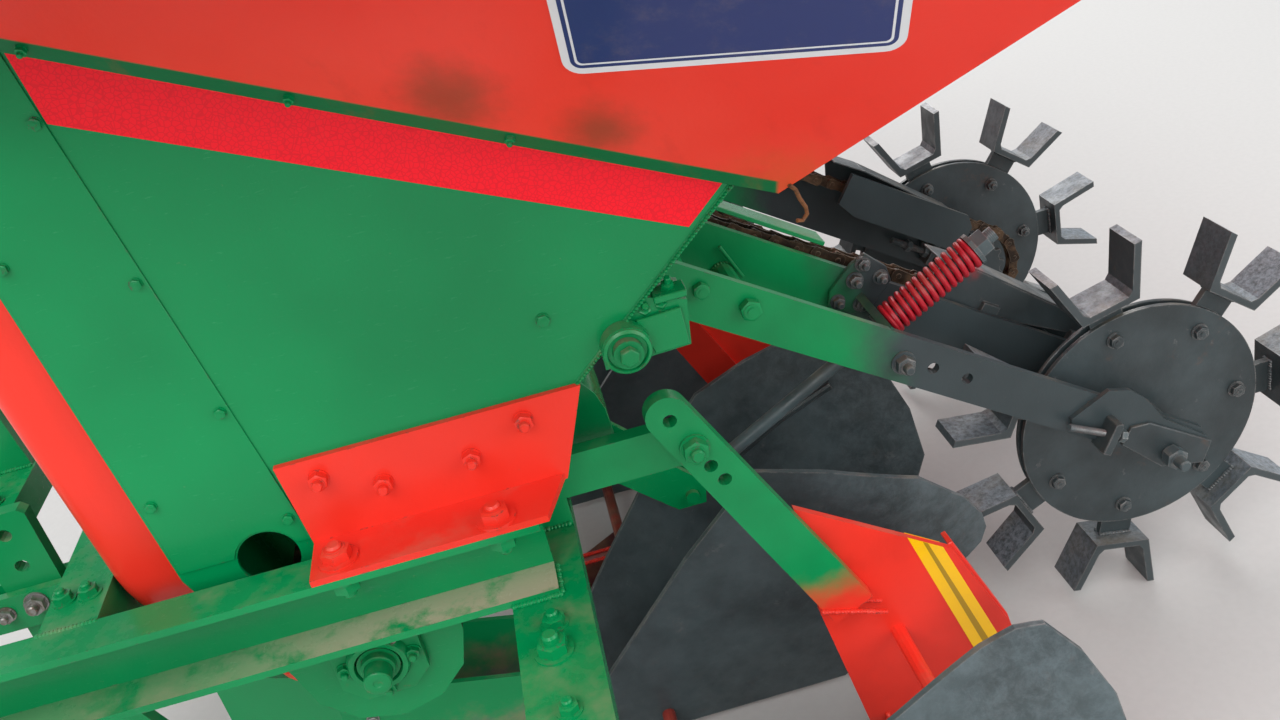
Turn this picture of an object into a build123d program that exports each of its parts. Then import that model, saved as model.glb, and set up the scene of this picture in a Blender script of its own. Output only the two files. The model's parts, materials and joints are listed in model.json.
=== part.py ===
"""Two-row tractor-mounted potato planter with cup elevators, land wheels and ridgers.

X runs to the rear, Y to the machine's right, Z up, in millimetres.  The ground is Z = 0,
and the origin is below the middle of the machine's length and width.
"""
from build123d import *
from math import atan2, cos, degrees, hypot, pi, radians, sin, tan
import os

os.makedirs("parts", exist_ok=True)

# Rolled channel that the frame and both toolbars are made of
channel_height = 75.0
channel_flange = 40.0
channel_web = 5.0
channel_lip = 7.0
frame_top = 515.0
frame_half_width = 550.0
bracket_foot = 60.0
frame_front = -720.0
frame_rear = -61.0
toolbar_width = 65.0
toolbar_half_length = 800.0
rear_toolbar_front = -103.0
front_toolbar_front = frame_front

# Land wheels and their trailing forks
wheel_y = 267.0
axle_x = 621.0
disc_radius = 145.0
disc_thickness = 5.0
hub_radius = 22.0
lug_count = 7
lug_tip_radius = 232.0
lug_half_flare = 54.0
lug_phase = 2.0
lug_base_radius = 166.0
lug_width = 50.0
lug_thickness = 8.0
stem_width = 40.0
stem_inner = 65.0
axle_radius = 10.0
running_fit = 0.08
small_bar_flats = 12
fork_pivot_x = 45.0
fork_pivot_height = 108.0
arm_depth = 52.0
arm_thickness = 10.0
arm_front = 38.0
arm_rear = 52.0
inner_arm_rise = 20.0
near_arm_offset = -50.0
inner_arm_offset = 52.0
stay_bar_offset = 110.0
stay_bar_thickness = 8.0
stay_bar_front = 430.0
stay_bar_rear = 640.0
stay_bar_low = 24.0
stay_bar_high = 80.0
stay_spacer_radius = 5.0
tie_radius = 12.0
tie_places = (95.0, 161.0)
arm_hole_places = (382.0, 425.0)
arm_hole_radius = 6.5
cover_thickness = 6.0
chain_offset = 80.0
chain_pitch = 25.4
wheel_teeth = 16
countershaft_teeth = 8
chain_height = 18.0
chain_width = 20.0
chain_clearance = 5.0
sprocket_width = 8.0

# Seed elevators
casing_width = 260.0
casing_wall = 3.0
boot_x = -237.0
boot_drop = 130.0
boot_radius = 78.0
inspection_x = -290.0
inspection_radius = 26.0
cup_teeth = 10
head_height = 1170.0
elevator_lean = 0.144
cup_pitch_radius = 40.0
cup_width = 56.0
cup_reach = 27.0
flange_half = 40.0
flange_thickness = 10.0
head_width = 160.0
bearing_radius = 20.6
bearing_sleeve = 16.0
bearing_depth = 15.0
block_depth = 46.0

# Hopper
hopper_overhang = 25.0
hopper_rim_half = 838.0
hopper_rim_height = 1015.0
hopper_band = 120.0
hopper_wall = 4.0
hopper_low_x = 185.0
hopper_low_z = 725.0
hopper_rim_rear = 565.0
chamber_rear_x = 158.0
chamber_low_x = -98.0
floor_inset = 56.0
chamber_slope = 0.478

# Ridgers
ridger_spacing = 455.0
standard_thickness = 16.0
strap_thickness = 8.0
rail_depth = 43.0
rail_rear = 75.0
rail_gap = 28.0
body_thickness = 8.0
share_thickness = 12.0
share_half = 110.0
share_point = -150.0
beam_height = 50.0
wing_thickness = 6.0
wing_lean = 12.5
wing_front = -71.0
wing_bend = 230.0
wing_flare = 32.0
wing_tail = 400.0
outer_wing_foot = 200.0
inner_wing_foot = 150.0
brace_radius = 8.0
front_brace = (0.0, 42.0)
rear_brace = (250.0, 200.0)
seat_gap = 0.3

standard_top_x = 67.0
standard_top_z = 531.0
standard_low_x = 204.0
standard_low_z = 258.0
standard_top_half = 20.0
standard_low_half = 23.0
standard_hole_radius = 6.5
standard_holes = ((68.0, 527.0), (95.0, 470.0), (105.0, 452.0))
beam_front = -112.0
beam_rear = 232.0

# Side views in X and Z of the red body plate and of the three kinds of wing
body_outline = [
    (165.0, 386.0), (316.0, 284.0), (369.0, 170.0), (398.0, 43.0), (404.0, 12.0),
    (222.0, 12.0), (206.0, 88.0), (173.0, 252.0),
]
centre_wing_outline = [
    (-71.0, 12.3), (-70.0, 110.0), (-24.0, 168.0), (60.0, 268.0), (133.0, 340.0), (200.0, 364.0),
    (264.0, 378.0), (318.0, 364.0), (360.0, 325.0), (385.0, 262.0), (392.0, 200.0), (378.0, 168.0),
    (219.0, 12.3),
]
outer_wing_outline = [
    (-71.0, 12.3), (-71.0, 119.0), (195.0, 245.0), (281.0, 290.0), (314.0, 302.0), (340.0, 302.0),
    (368.0, 270.0), (390.0, 225.0), (396.0, 190.0), (382.0, 160.0), (219.0, 12.3),
]
inner_wing_outline = [
    (-71.0, 12.3), (-71.0, 119.0), (60.0, 300.0), (144.0, 398.0), (219.0, 368.0), (318.0, 316.0),
    (374.0, 255.0), (398.0, 215.0), (405.0, 188.0), (399.0, 166.0), (376.0, 148.0), (219.0, 12.3),
]

# Linkage
lower_pin_radius = 14.2
lower_plate_y = 360.0
lower_plate_thickness = 16.0
lower_pin_reach = 87.0
lower_pin_z = 470.0
lower_plate_radius = 40.0
mast_height = 610.0
top_pin_radius = 12.7
mast_gap = 52.0
mast_plate = 12.0
mast_foot = 330.0

# Pressure spring and its rod
spring_seat_x = 338.0
spring_seat_z = 447.0
spring_angle = 29.0
spring_gap = 0.3
seat_half = 26.0
seat_thickness = 9.0
spring_length = 114.0
spring_radius = 19.0
spring_bore = 12.0
rod_radius = 8.0
rod_reach = 285.0
rod_end = 24.0
cap_thickness = 5.0
rod_nut = 15.0
rod_nut_height = 14.0
rod_eye = 16.0
shaft_radius = 12.5

# Trunk, duct and opener places
trunk_low_x = -365.0
trunk_top_x = -406.0
cup_pitch = 92.0
head_half = 80.0
head_rear_low = -234.0
duct_drop = 25.0
duct_top_x = -420.0
duct_shoulder_z = 960.0
duct_shoulder_x = -405.0
duct_mid_x = -366.0
duct_depth = 64.0
duct_width = 220.0
duct_low_z = 262.0
duct_low_width = 92.0
duct_low_depth = 60.0
duct_bevel = 22.0
duct_low_x = -318.0
opener_y = 300.0
cross_member_x = -432.5
opener_nose_x = -470.0
opener_front_rear = -300.0
opener_rear_x = -125.0
opener_height = 250.0
opener_half = 52.0
cheek_thickness = 6.0
shank_x = -578.0
shank_half = 28.0
shank_thickness = 16.0
shank_top = 12.0
shank_hole_radius = 7.0
shank_hole_pitch = 38.0
bracket_thickness = 6.0
bracket_front = -249.0
bracket_rear = -30.0
bracket_height = 84.0

# The lowest lug tip stands on the ground, and the rearmost one ends the machine
tip_reach = hypot(lug_tip_radius, lug_half_flare)
tip_turn = atan2(lug_half_flare, lug_tip_radius)
lug_angles = [radians(lug_phase) + 2 * pi * index / lug_count for index in range(lug_count)]
tip_angles = [angle + turn for angle in lug_angles for turn in (-tip_turn, tip_turn)]
axle_z = -min(tip_reach * sin(angle) for angle in tip_angles)
rear_reach = max(tip_reach * cos(angle) for angle in tip_angles)
lower_pin_x = lower_plate_radius - axle_x - rear_reach
wheel_pitch_radius = chain_pitch / 2 / sin(pi / wheel_teeth)
shaft_pitch_radius = chain_pitch / 2 / sin(pi / countershaft_teeth)
pivot_z = frame_top + fork_pivot_height
frame_bottom = frame_top - channel_height
boot_z = frame_top - boot_drop
arm_angle = degrees(atan2(axle_z - pivot_z, axle_x - fork_pivot_x))
arm_length = hypot(axle_x - fork_pivot_x, axle_z - pivot_z)
hopper_rim_front = trunk_top_x
head_x = boot_x - elevator_lean * (head_height - boot_z)
casing_outer_y = frame_half_width - bracket_foot
hopper_bottom_half = casing_outer_y + hopper_overhang
duct_top_z = head_height - duct_drop
casing_inner_y = casing_outer_y - casing_width
casing_mid_y = casing_outer_y - casing_width / 2
spring_y = -wheel_y + 4.0


def side_plane(y):
    """Plane seen from the left side: local x is X, local y is Z, and it faces -Y."""
    return Plane(origin=(0, y, 0), x_dir=(1, 0, 0), z_dir=(0, -1, 0))


def cross_plane(x):
    """Plane across the machine: local x is Y, local y is Z, and it faces +X."""
    return Plane(origin=(x, 0, 0), x_dir=(0, 1, 0), z_dir=(1, 0, 0))


def save(part, name):
    """Label one finished piece and write it."""
    part.label = name
    export_step(part, f"parts/{name}.step")


def save_pair(part, name):
    """Write a left piece and its mirror image on the right."""
    save(part, f"{name}_left")
    save(mirror(part, about=Plane.XZ), f"{name}_right")


def plate(points, y_high, thickness, mode=Mode.ADD):
    """Add a plate of an outline in X and Z, from y_high towards -Y."""
    with BuildSketch(side_plane(y_high)) as outline:
        with BuildLine():
            Polyline(*points, close=True)
        make_face()
    extrude(outline.sketch, amount=thickness, mode=mode)


def cross_bar(x, z, radius, y_high, length, mode=Mode.ADD):
    """Add a round bar along Y, from y_high towards -Y."""
    with BuildSketch(side_plane(y_high)) as outline:
        with Locations((x, z)):
            Circle(radius)
    extrude(outline.sketch, amount=length, mode=mode)


def small_bar(x, z, radius, y_high, length, mode=Mode.ADD):
    """Add a small bar along Y with twelve flats, from y_high towards -Y."""
    with BuildSketch(side_plane(y_high)) as outline:
        with Locations((x, z)):
            RegularPolygon(radius, small_bar_flats)
    extrude(outline.sketch, amount=length, mode=mode)


def square_flange(x, z, half, y_high, thickness):
    """Add a bearing flange with cut corners, from y_high towards -Y."""
    cut = half * 0.45
    with BuildSketch(side_plane(y_high)) as outline:
        with Locations((x, z)):
            Rectangle(2 * half, 2 * half)
        chamfer(outline.vertices(), cut)
    extrude(outline.sketch, amount=thickness)


def sprocket(x, z, teeth, tip_radius, y_high):
    """Add a chain wheel with cut teeth, from y_high towards -Y."""
    root_radius = tip_radius - 6
    step = 2 * pi / teeth
    points = []
    for index in range(teeth):
        for share, radius in ((-0.30, root_radius), (-0.12, tip_radius), (0.12, tip_radius), (0.30, root_radius)):
            angle = (index + share) * step
            points.append((x + radius * cos(angle), z + radius * sin(angle)))
    plate(points, y_high, sprocket_width)


def make_frame_channel():
    """Long channel of the frame, open side out."""
    lip_y = -frame_half_width
    back_y = lip_y + channel_flange
    with BuildPart() as piece:
        with BuildSketch(cross_plane(frame_front)):
            with BuildLine():
                Polyline(
                    (lip_y, frame_top),
                    (back_y, frame_top),
                    (back_y, frame_bottom),
                    (lip_y, frame_bottom),
                    (lip_y, frame_bottom + channel_lip),
                    (back_y - channel_web, frame_bottom + channel_lip + 2),
                    (back_y - channel_web, frame_top - channel_lip - 2),
                    (lip_y, frame_top - channel_lip),
                    close=True,
                )
            make_face()
        extrude(amount=frame_rear - frame_front)
    return piece.part


def make_toolbar(front_x, half_length):
    """Channel across the machine, web up, under the frame."""
    rear_x = front_x + toolbar_width
    low = frame_bottom - channel_flange
    with BuildPart() as piece:
        with BuildSketch(side_plane(half_length)):
            with BuildLine():
                Polyline(
                    (front_x, frame_bottom),
                    (rear_x, frame_bottom),
                    (rear_x, low),
                    (rear_x - channel_lip, low),
                    (rear_x - channel_lip, frame_bottom - channel_web),
                    (front_x + channel_lip, frame_bottom - channel_web),
                    (front_x + channel_lip, low),
                    (front_x, low),
                    close=True,
                )
            make_face()
        extrude(amount=2 * half_length)
    return piece.part


def lug_outline():
    """Side view of one lug about the axle: a flat foot with two flared legs."""
    foot = lug_base_radius + lug_thickness
    return [
        (lug_base_radius, -34),
        (lug_tip_radius, -lug_half_flare),
        (lug_tip_radius, -lug_half_flare + 9),
        (foot + 6, -29),
        (foot, -23),
        (foot, 23),
        (foot + 6, 29),
        (lug_tip_radius, lug_half_flare - 9),
        (lug_tip_radius, lug_half_flare),
        (lug_base_radius, 34),
    ]


def make_wheel():
    """Land wheel: outer disc, seven lugs on stems, hub, axle and chain wheel."""
    centre_y = -wheel_y
    half_stem = lug_thickness / 2
    hub_high = centre_y + inner_arm_offset - arm_thickness / 2 - 6
    hub_low = centre_y + near_arm_offset + arm_thickness / 2 + 6
    axle_high = centre_y + chain_offset + sprocket_width / 2 + 12
    axle_low = centre_y + near_arm_offset - arm_thickness / 2 + seat_gap
    with BuildPart() as piece:
        cross_bar(axle_x, axle_z, disc_radius, centre_y - half_stem, disc_thickness)
        small_bar(axle_x, axle_z, hub_radius, hub_high, hub_high - hub_low)
        cross_bar(axle_x, axle_z, axle_radius, axle_high, axle_high - axle_low)
        inner_run = wheel_pitch_radius - chain_height / 2 - chain_clearance
        sprocket(axle_x, axle_z, wheel_teeth, inner_run, centre_y + chain_offset + sprocket_width / 2)
        with BuildSketch(side_plane(centre_y + lug_width / 2)) as lugs:
            with BuildSketch(mode=Mode.PRIVATE) as lug:
                with BuildLine():
                    Polyline(*lug_outline(), close=True)
                make_face()
            with Locations((axle_x, axle_z)):
                with PolarLocations(0, lug_count, start_angle=lug_phase):
                    add(lug.sketch)
        extrude(lugs.sketch, amount=lug_width)
        with BuildSketch(side_plane(centre_y + half_stem)) as stems:
            with Locations((axle_x, axle_z)):
                with PolarLocations((stem_inner + lug_base_radius) / 2, lug_count, start_angle=lug_phase):
                    Rectangle(lug_base_radius - stem_inner + 2, stem_width)
        extrude(stems.sketch, amount=lug_thickness)
    return piece.part


def arm_point(along, above):
    """Point in X and Z at a distance along the fork arm's centre line and above it."""
    turn = radians(arm_angle)
    return (
        fork_pivot_x + along * cos(turn) - above * sin(turn),
        pivot_z + along * sin(turn) + above * cos(turn),
    )


def arm_outline(end, rise):
    """Side view of an arm with cut rear corners."""
    half = arm_depth / 2
    corners = [(-arm_front, -half), (end - 16, -half), (end, -half + 16), (end, half - 12), (end - 12, half)]
    if rise:
        corners[3:] = [(end, half), (end - 40, half + rise)]
    corners.append((-arm_front + rise, half + rise))
    return [arm_point(along, above) for along, above in corners]


def cover_outline():
    """Side view of the humped cover plate over the axle's end."""
    rear = arm_length + arm_rear - 4
    corners = [(-120, -8), (-96, 36), (-72, 44), (-46, 40), (-10, 24), (56, 20), (56, -14), (40, -22), (-108, -22)]
    return [arm_point(rear - 56 + along, above) for along, above in corners]


def make_fork():
    """Trailing fork: two flat arms, tie tubes, spring seat, chain stay bar and axle cover."""
    near_y = -wheel_y + near_arm_offset
    inner_y = -wheel_y + inner_arm_offset
    half = arm_thickness / 2
    with BuildPart() as piece:
        plate(arm_outline(arm_length + arm_rear, 0), near_y + half, arm_thickness)
        plate(arm_outline(arm_length + arm_front, inner_arm_rise), inner_y + half, arm_thickness)
        plate(cover_outline(), near_y - half, cover_thickness)
        for along in tie_places:
            tie_x, tie_z = arm_point(along, 0)
            small_bar(tie_x, tie_z, tie_radius, inner_y, inner_y - near_y)
        plate(seat_outline(), inner_y, inner_y - near_y)
        stay_y = -wheel_y + stay_bar_offset
        plate(
            [arm_point(stay_bar_front, stay_bar_low + 10), arm_point(stay_bar_front + 30, stay_bar_low),
             arm_point(stay_bar_rear, stay_bar_low), arm_point(stay_bar_rear, stay_bar_high - 14),
             arm_point(stay_bar_rear - 14, stay_bar_high), arm_point(stay_bar_front, stay_bar_high)],
            stay_y + stay_bar_thickness / 2, stay_bar_thickness,
        )
        for along in (stay_bar_front + 45, stay_bar_rear - 40):
            spacer_x, spacer_z = arm_point(along, stay_bar_low + stay_spacer_radius + 2)
            small_bar(spacer_x, spacer_z, stay_spacer_radius, stay_y, stay_y - inner_y)
        bore_length = 2 * wheel_y - 2 * near_arm_offset
        cross_bar(axle_x, axle_z, axle_radius + running_fit, 0, wheel_y - near_arm_offset + half,
                  mode=Mode.SUBTRACT)
        cross_bar(fork_pivot_x, pivot_z, shaft_radius + running_fit, 0, bore_length, mode=Mode.SUBTRACT)
        for along in arm_hole_places:
            hole_x, hole_z = arm_point(along, 0)
            small_bar(hole_x, hole_z, arm_hole_radius, near_y + half + 1, arm_thickness + 2, mode=Mode.SUBTRACT)
        rod_hole_x, rod_hole_z = spring_point(0)
        rod_plane = Plane(origin=(rod_hole_x, spring_y, rod_hole_z), z_dir=spring_direction())
        with BuildSketch(rod_plane.offset(-2 * seat_thickness)) as hole:
            RegularPolygon(rod_radius + 3, small_bar_flats)
        extrude(hole.sketch, amount=4 * seat_thickness, mode=Mode.SUBTRACT)
    return piece.part


def seat_outline():
    """Side view of the spring's seat, square to the rod."""
    turn = radians(spring_angle)
    rise_x, rise_z = -sin(turn), cos(turn)
    near_x, near_z = spring_point(-seat_thickness)
    far_x, far_z = spring_point(0)
    return [
        (near_x - seat_half * rise_x, near_z - seat_half * rise_z),
        (far_x - seat_half * rise_x, far_z - seat_half * rise_z),
        (far_x + seat_half * rise_x, far_z + seat_half * rise_z),
        (near_x + seat_half * rise_x, near_z + seat_half * rise_z),
    ]


def spring_point(along):
    """Point in X and Z on the spring rod, from the fork's seat towards the cap."""
    turn = radians(spring_angle)
    return (spring_seat_x + along * cos(turn), spring_seat_z + along * sin(turn))


def spring_direction():
    turn = radians(spring_angle)
    return (cos(turn), 0, sin(turn))


def spring_plane(along):
    """Plane square to the spring rod at a distance from the fork's seat."""
    x, z = spring_point(along)
    return Plane(origin=(x, spring_y, z), z_dir=spring_direction())


def make_spring():
    """Closed outer shape of the pressure spring, hollow for its rod."""
    with BuildPart() as piece:
        with BuildSketch(spring_plane(spring_gap)) as ring:
            Circle(spring_radius)
            RegularPolygon(spring_bore, small_bar_flats, mode=Mode.SUBTRACT)
        extrude(ring.sketch, amount=spring_length)
    return piece.part


def make_spring_rod():
    """Rod through the fork's seat and spring, with its cap, nut and eye."""
    cap_place = 2 * spring_gap + spring_length
    x, z = spring_point(-rod_reach)
    with BuildPart() as piece:
        with BuildSketch(spring_plane(-rod_reach)) as rod:
            Circle(rod_radius)
        extrude(rod.sketch, amount=rod_reach + cap_place + cap_thickness + rod_end)
        with BuildSketch(spring_plane(cap_place)) as cap:
            RegularPolygon(spring_radius, small_bar_flats)
        extrude(cap.sketch, amount=cap_thickness)
        with BuildSketch(spring_plane(cap_place + cap_thickness)) as nut:
            RegularPolygon(rod_nut, 6)
        extrude(nut.sketch, amount=rod_nut_height)
        small_bar(x, z, rod_eye, spring_y + 9, 18)
        small_bar(x, z, rod_radius, spring_y + 30, 60, mode=Mode.SUBTRACT)
    return piece.part


def make_rod_anchor():
    """Forked lug behind the rear toolbar that holds the eye of the spring rod."""
    x, z = spring_point(-rod_reach)
    rear = rear_toolbar_front + toolbar_width
    outline = [
        (rear, frame_bottom),
        (rear, frame_bottom - channel_flange),
        (x - 18, z - 14),
        (x + 14, z - 14),
        (x + 18, z + 12),
        (rear + 30, frame_bottom),
    ]
    with BuildPart() as piece:
        for offset in (10, -18):
            plate(outline, spring_y + offset + 8, 8)
        small_bar(x, z, rod_radius - 0.1, spring_y + 24, 48)
    return piece.part


def belt_outline(x0, z0, radius0, x1, z1, radius1):
    """Sketch a closed loop that is drawn tight round two wheels."""
    with Locations((x0, z0)):
        Circle(radius0)
    with Locations((x1, z1)):
        Circle(radius1)
    make_hull()


def make_drive_chain():
    """Roller chain from the land wheel up to the countershaft, as one closed loop."""
    y_high = -wheel_y + chain_offset + chain_width / 2
    with BuildPart() as piece:
        for change, mode in ((chain_height / 2, Mode.ADD), (-chain_height / 2, Mode.SUBTRACT)):
            with BuildSketch(side_plane(y_high)) as loop:
                belt_outline(fork_pivot_x, pivot_z, shaft_pitch_radius + change,
                             axle_x, axle_z, wheel_pitch_radius + change)
            extrude(loop.sketch, amount=chain_width, mode=mode)
    return piece.part


def make_countershaft():
    """Shaft that the fork hangs on, with the driven chain wheel."""
    outer_y = -casing_outer_y - bearing_depth - 8
    inner_y = -wheel_y + chain_offset + chain_width
    with BuildPart() as piece:
        cross_bar(fork_pivot_x, pivot_z, shaft_radius, inner_y, inner_y - outer_y)
        tip_radius = shaft_pitch_radius - chain_height / 2 - seat_gap
        sprocket(fork_pivot_x, pivot_z, countershaft_teeth, tip_radius,
                 -wheel_y + chain_offset + sprocket_width / 2)
    return piece.part


def casing_floor(x):
    """Height of the casing's sloping rear floor."""
    slope = (hopper_floor(chamber_rear_x) - frame_top) / (chamber_rear_x - chamber_low_x)
    return frame_top + slope * (x - chamber_low_x)


def make_bearing_bracket():
    """Bearing block under the casing's sloping floor, with its round outer housing."""
    face_y = -casing_outer_y
    block_front, block_rear = fork_pivot_x - 20, fork_pivot_x + 58
    with BuildPart() as piece:
        plate(
            [(block_front, pivot_z - 22), (block_rear - 4, pivot_z - 19), (block_rear, pivot_z + 22),
             (block_front + 41, casing_floor(block_front + 41) - 0.4), (block_front, pivot_z + 22)],
            face_y + casing_wall + seat_gap + block_depth, block_depth,
        )
        small_bar(fork_pivot_x, pivot_z, bearing_sleeve, face_y + 2 * casing_wall, bearing_depth + 2 * casing_wall)
        cross_bar(fork_pivot_x, pivot_z, bearing_radius, face_y - seat_gap, bearing_depth)
        cross_bar(fork_pivot_x, pivot_z, shaft_radius + running_fit, 0, 2 * casing_outer_y, mode=Mode.SUBTRACT)
    return piece.part


def hopper_floor(x):
    """Height of the hopper's sloping bottom, which the casings carry."""
    return hopper_low_z + chamber_slope * (hopper_low_x - x)


def casing_outline(inset):
    """Side view of the seed casing: sloping floor, leaning front and round boot."""
    front_low_x = boot_x - boot_radius
    a = inset
    low = [
        (boot_x + (boot_radius - a) * cos(radians(turn)), boot_z - (boot_radius - a) * sin(radians(turn)))
        for turn in range(0, 181, 30)
    ]
    return [
        (chamber_rear_x - a, hopper_floor(chamber_rear_x - a)),
        (chamber_low_x - a, frame_top),
        (boot_x + boot_radius - a, boot_z + 40),
        *low,
        (trunk_low_x + a, frame_top),
        (trunk_top_x + a, hopper_floor(trunk_top_x + a)),
    ]


def make_casing():
    """Seed casing under the hopper, open on top, with its boot below the frame."""
    inner = casing_outline(casing_wall)
    inner[0] = (chamber_rear_x - floor_inset, hopper_floor(chamber_rear_x - floor_inset))
    inner[1] = (chamber_low_x - floor_inset, frame_top)
    top = [(inner[-1][0], inner[-1][1] + 60), (inner[0][0], inner[0][1] + 60)]
    gap = floor_inset - casing_wall * 1.5
    floor_gap = [
        (chamber_rear_x + 5, hopper_floor(chamber_rear_x)),
        (chamber_low_x + 5, frame_top - 1),
        (chamber_low_x - gap, frame_top - 1),
        (chamber_rear_x - gap, hopper_floor(chamber_rear_x)),
    ]
    with BuildPart() as piece:
        plate(casing_outline(0), -casing_inner_y, casing_width)
        plate(floor_gap, -casing_inner_y - casing_wall, casing_width - 2 * casing_wall, mode=Mode.SUBTRACT)
        plate(inner + top, -casing_inner_y - casing_wall, casing_width - 2 * casing_wall, mode=Mode.SUBTRACT)
        cross_bar(boot_x, boot_z, shaft_radius + running_fit, 0, 2 * casing_outer_y, mode=Mode.SUBTRACT)
        small_bar(fork_pivot_x, pivot_z, bearing_sleeve + 1, 0, 2 * casing_outer_y, mode=Mode.SUBTRACT)
        cross_bar(inspection_x, frame_top, inspection_radius, -casing_outer_y + 2 * casing_wall, 3 * casing_wall,
                  mode=Mode.SUBTRACT)
    return piece.part


def make_boot_shaft():
    """Lower elevator shaft with its flanged bearings and chain wheel."""
    with BuildPart() as piece:
        cross_bar(boot_x, boot_z, shaft_radius, -casing_inner_y + 34, casing_width + 74)
        sprocket(boot_x, boot_z, cup_teeth, cup_pitch_radius - 5, -casing_mid_y + sprocket_width / 2)
        for y_high in (-casing_inner_y + flange_thickness + seat_gap, -casing_outer_y - seat_gap):
            square_flange(boot_x, boot_z, flange_half, y_high, flange_thickness)
    return piece.part


def make_cup_chain():
    """Elevator chain with its cups, as one closed loop."""
    half = cup_width / 2
    with BuildPart() as piece:
        for change, mode in ((4, Mode.ADD), (-4, Mode.SUBTRACT)):
            with BuildSketch(side_plane(-casing_mid_y + half)) as loop:
                belt_outline(boot_x, boot_z, cup_pitch_radius + change, head_x, head_height, cup_pitch_radius + change)
            extrude(loop.sketch, amount=cup_width, mode=mode)
        run = hypot(head_x - boot_x, head_height - boot_z)
        turn = atan2(head_height - boot_z, head_x - boot_x)
        count = int(run // cup_pitch)
        for index in range(count):
            along = (index + 0.5) * run / count
            for side in (1, -1):
                back = cup_pitch_radius + 3
                rows = [(0, back), (0, back + cup_reach), (side * cup_reach, back + cup_reach / 3)]
                points = [
                    (boot_x + (along - rise) * cos(turn) + side * out * sin(turn),
                     boot_z + (along - rise) * sin(turn) - side * out * cos(turn))
                    for rise, out in rows
                ]
                plate(points, -casing_mid_y + half - 2, cup_width - 4)
    return piece.part


def make_head():
    """Elevator head over the hopper: leaning box with a round top and a hood over the duct."""
    duct_front_x = duct_top_x - duct_depth
    with BuildPart() as piece:
        for inset, mode in ((0, Mode.ADD), (casing_wall, Mode.SUBTRACT)):
            half = head_half - inset
            drop = 0 if mode == Mode.ADD else 2
            front_low = trunk_top_x + 4 + inset
            rear_low = head_rear_low - inset
            outline = [
                (front_low, hopper_floor(front_low) + hopper_wall * 1.2 - drop),
                (rear_low, hopper_floor(rear_low) + hopper_wall * 1.2 - drop),
                (head_x + half, head_height),
                (head_x + half * 0.87, head_height + half * 0.5),
                (head_x + half * 0.5, head_height + half * 0.87),
                (head_x, head_height + half),
                (head_x - half * 0.5, head_height + half * 0.93),
                (duct_front_x + inset, head_height + half * 0.45),
                (duct_front_x + inset, duct_top_z - drop),
                (duct_top_x + 0.3 + inset, duct_top_z - drop),
            ]
            width = head_width - 2 * inset
            plate(outline, -casing_mid_y + width / 2, width, mode=mode)
        cross_bar(head_x, head_height, shaft_radius + running_fit, 0, 2 * casing_outer_y, mode=Mode.SUBTRACT)
    return piece.part


def make_head_shaft():
    """Upper elevator shaft with its chain wheel and outer bearings."""
    half = head_width / 2
    with BuildPart() as piece:
        cross_bar(head_x, head_height, shaft_radius, -casing_mid_y + half + 30, head_width + 60)
        sprocket(head_x, head_height, cup_teeth, cup_pitch_radius - 5, -casing_mid_y + sprocket_width / 2)
        for y_high in (-casing_mid_y + half + flange_thickness + seat_gap, -casing_mid_y - half - seat_gap):
            square_flange(head_x, head_height, flange_half * 0.8, y_high, flange_thickness)
    return piece.part


def duct_level(level, inset, grow):
    """Corners of the duct at one level, counted the same way round at each."""
    z, rear, depth, width, mid = level
    corners = bevelled(depth / 2 - inset, width / 2 - inset, duct_bevel - inset / 2)
    return [Vector(rear - depth / 2 + x, mid + y, z + grow) for x, y in corners]


def make_duct():
    """Seed duct with bevelled corners in front of the casing, narrowing to the furrow opener."""
    levels = [
        (duct_top_z, duct_top_x, duct_depth, head_width, -casing_mid_y),
        (duct_shoulder_z, duct_shoulder_x, duct_depth, duct_width, -casing_mid_y),
        (frame_top - 25, duct_mid_x, duct_depth, duct_width, -casing_mid_y),
        (duct_low_z, duct_low_x, duct_low_depth, duct_low_width, -opener_y),
    ]
    with BuildPart() as piece:
        for inset, reach, mode in ((0, 0, Mode.ADD), (casing_wall, 1, Mode.SUBTRACT)):
            grows = (reach, 0, 0, -reach)
            rings = [duct_level(level, inset, grow) for level, grow in zip(levels, grows)]
            faces = [Face(Wire.make_polygon(rings[0])), Face(Wire.make_polygon(rings[-1]))]
            for upper, lower in zip(rings, rings[1:]):
                for first in range(len(upper)):
                    second = (first + 1) % len(upper)
                    side = [upper[first], upper[second], lower[second], lower[first]]
                    faces.append(Face(Wire.make_polygon(side)))
            add(Solid(Shell(faces)), mode=mode)
    return piece.part


def bevelled(half_x, half_y, bevel):
    """Corners of a rectangle whose front corners are rounded off in two flats."""
    small = bevel * 0.3
    return [
        (half_x, -half_y), (half_x, half_y),
        (-half_x + bevel, half_y), (-half_x + small, half_y - small), (-half_x, half_y - bevel),
        (-half_x, -half_y + bevel), (-half_x + small, -half_y + small), (-half_x + bevel, -half_y),
    ]


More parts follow.
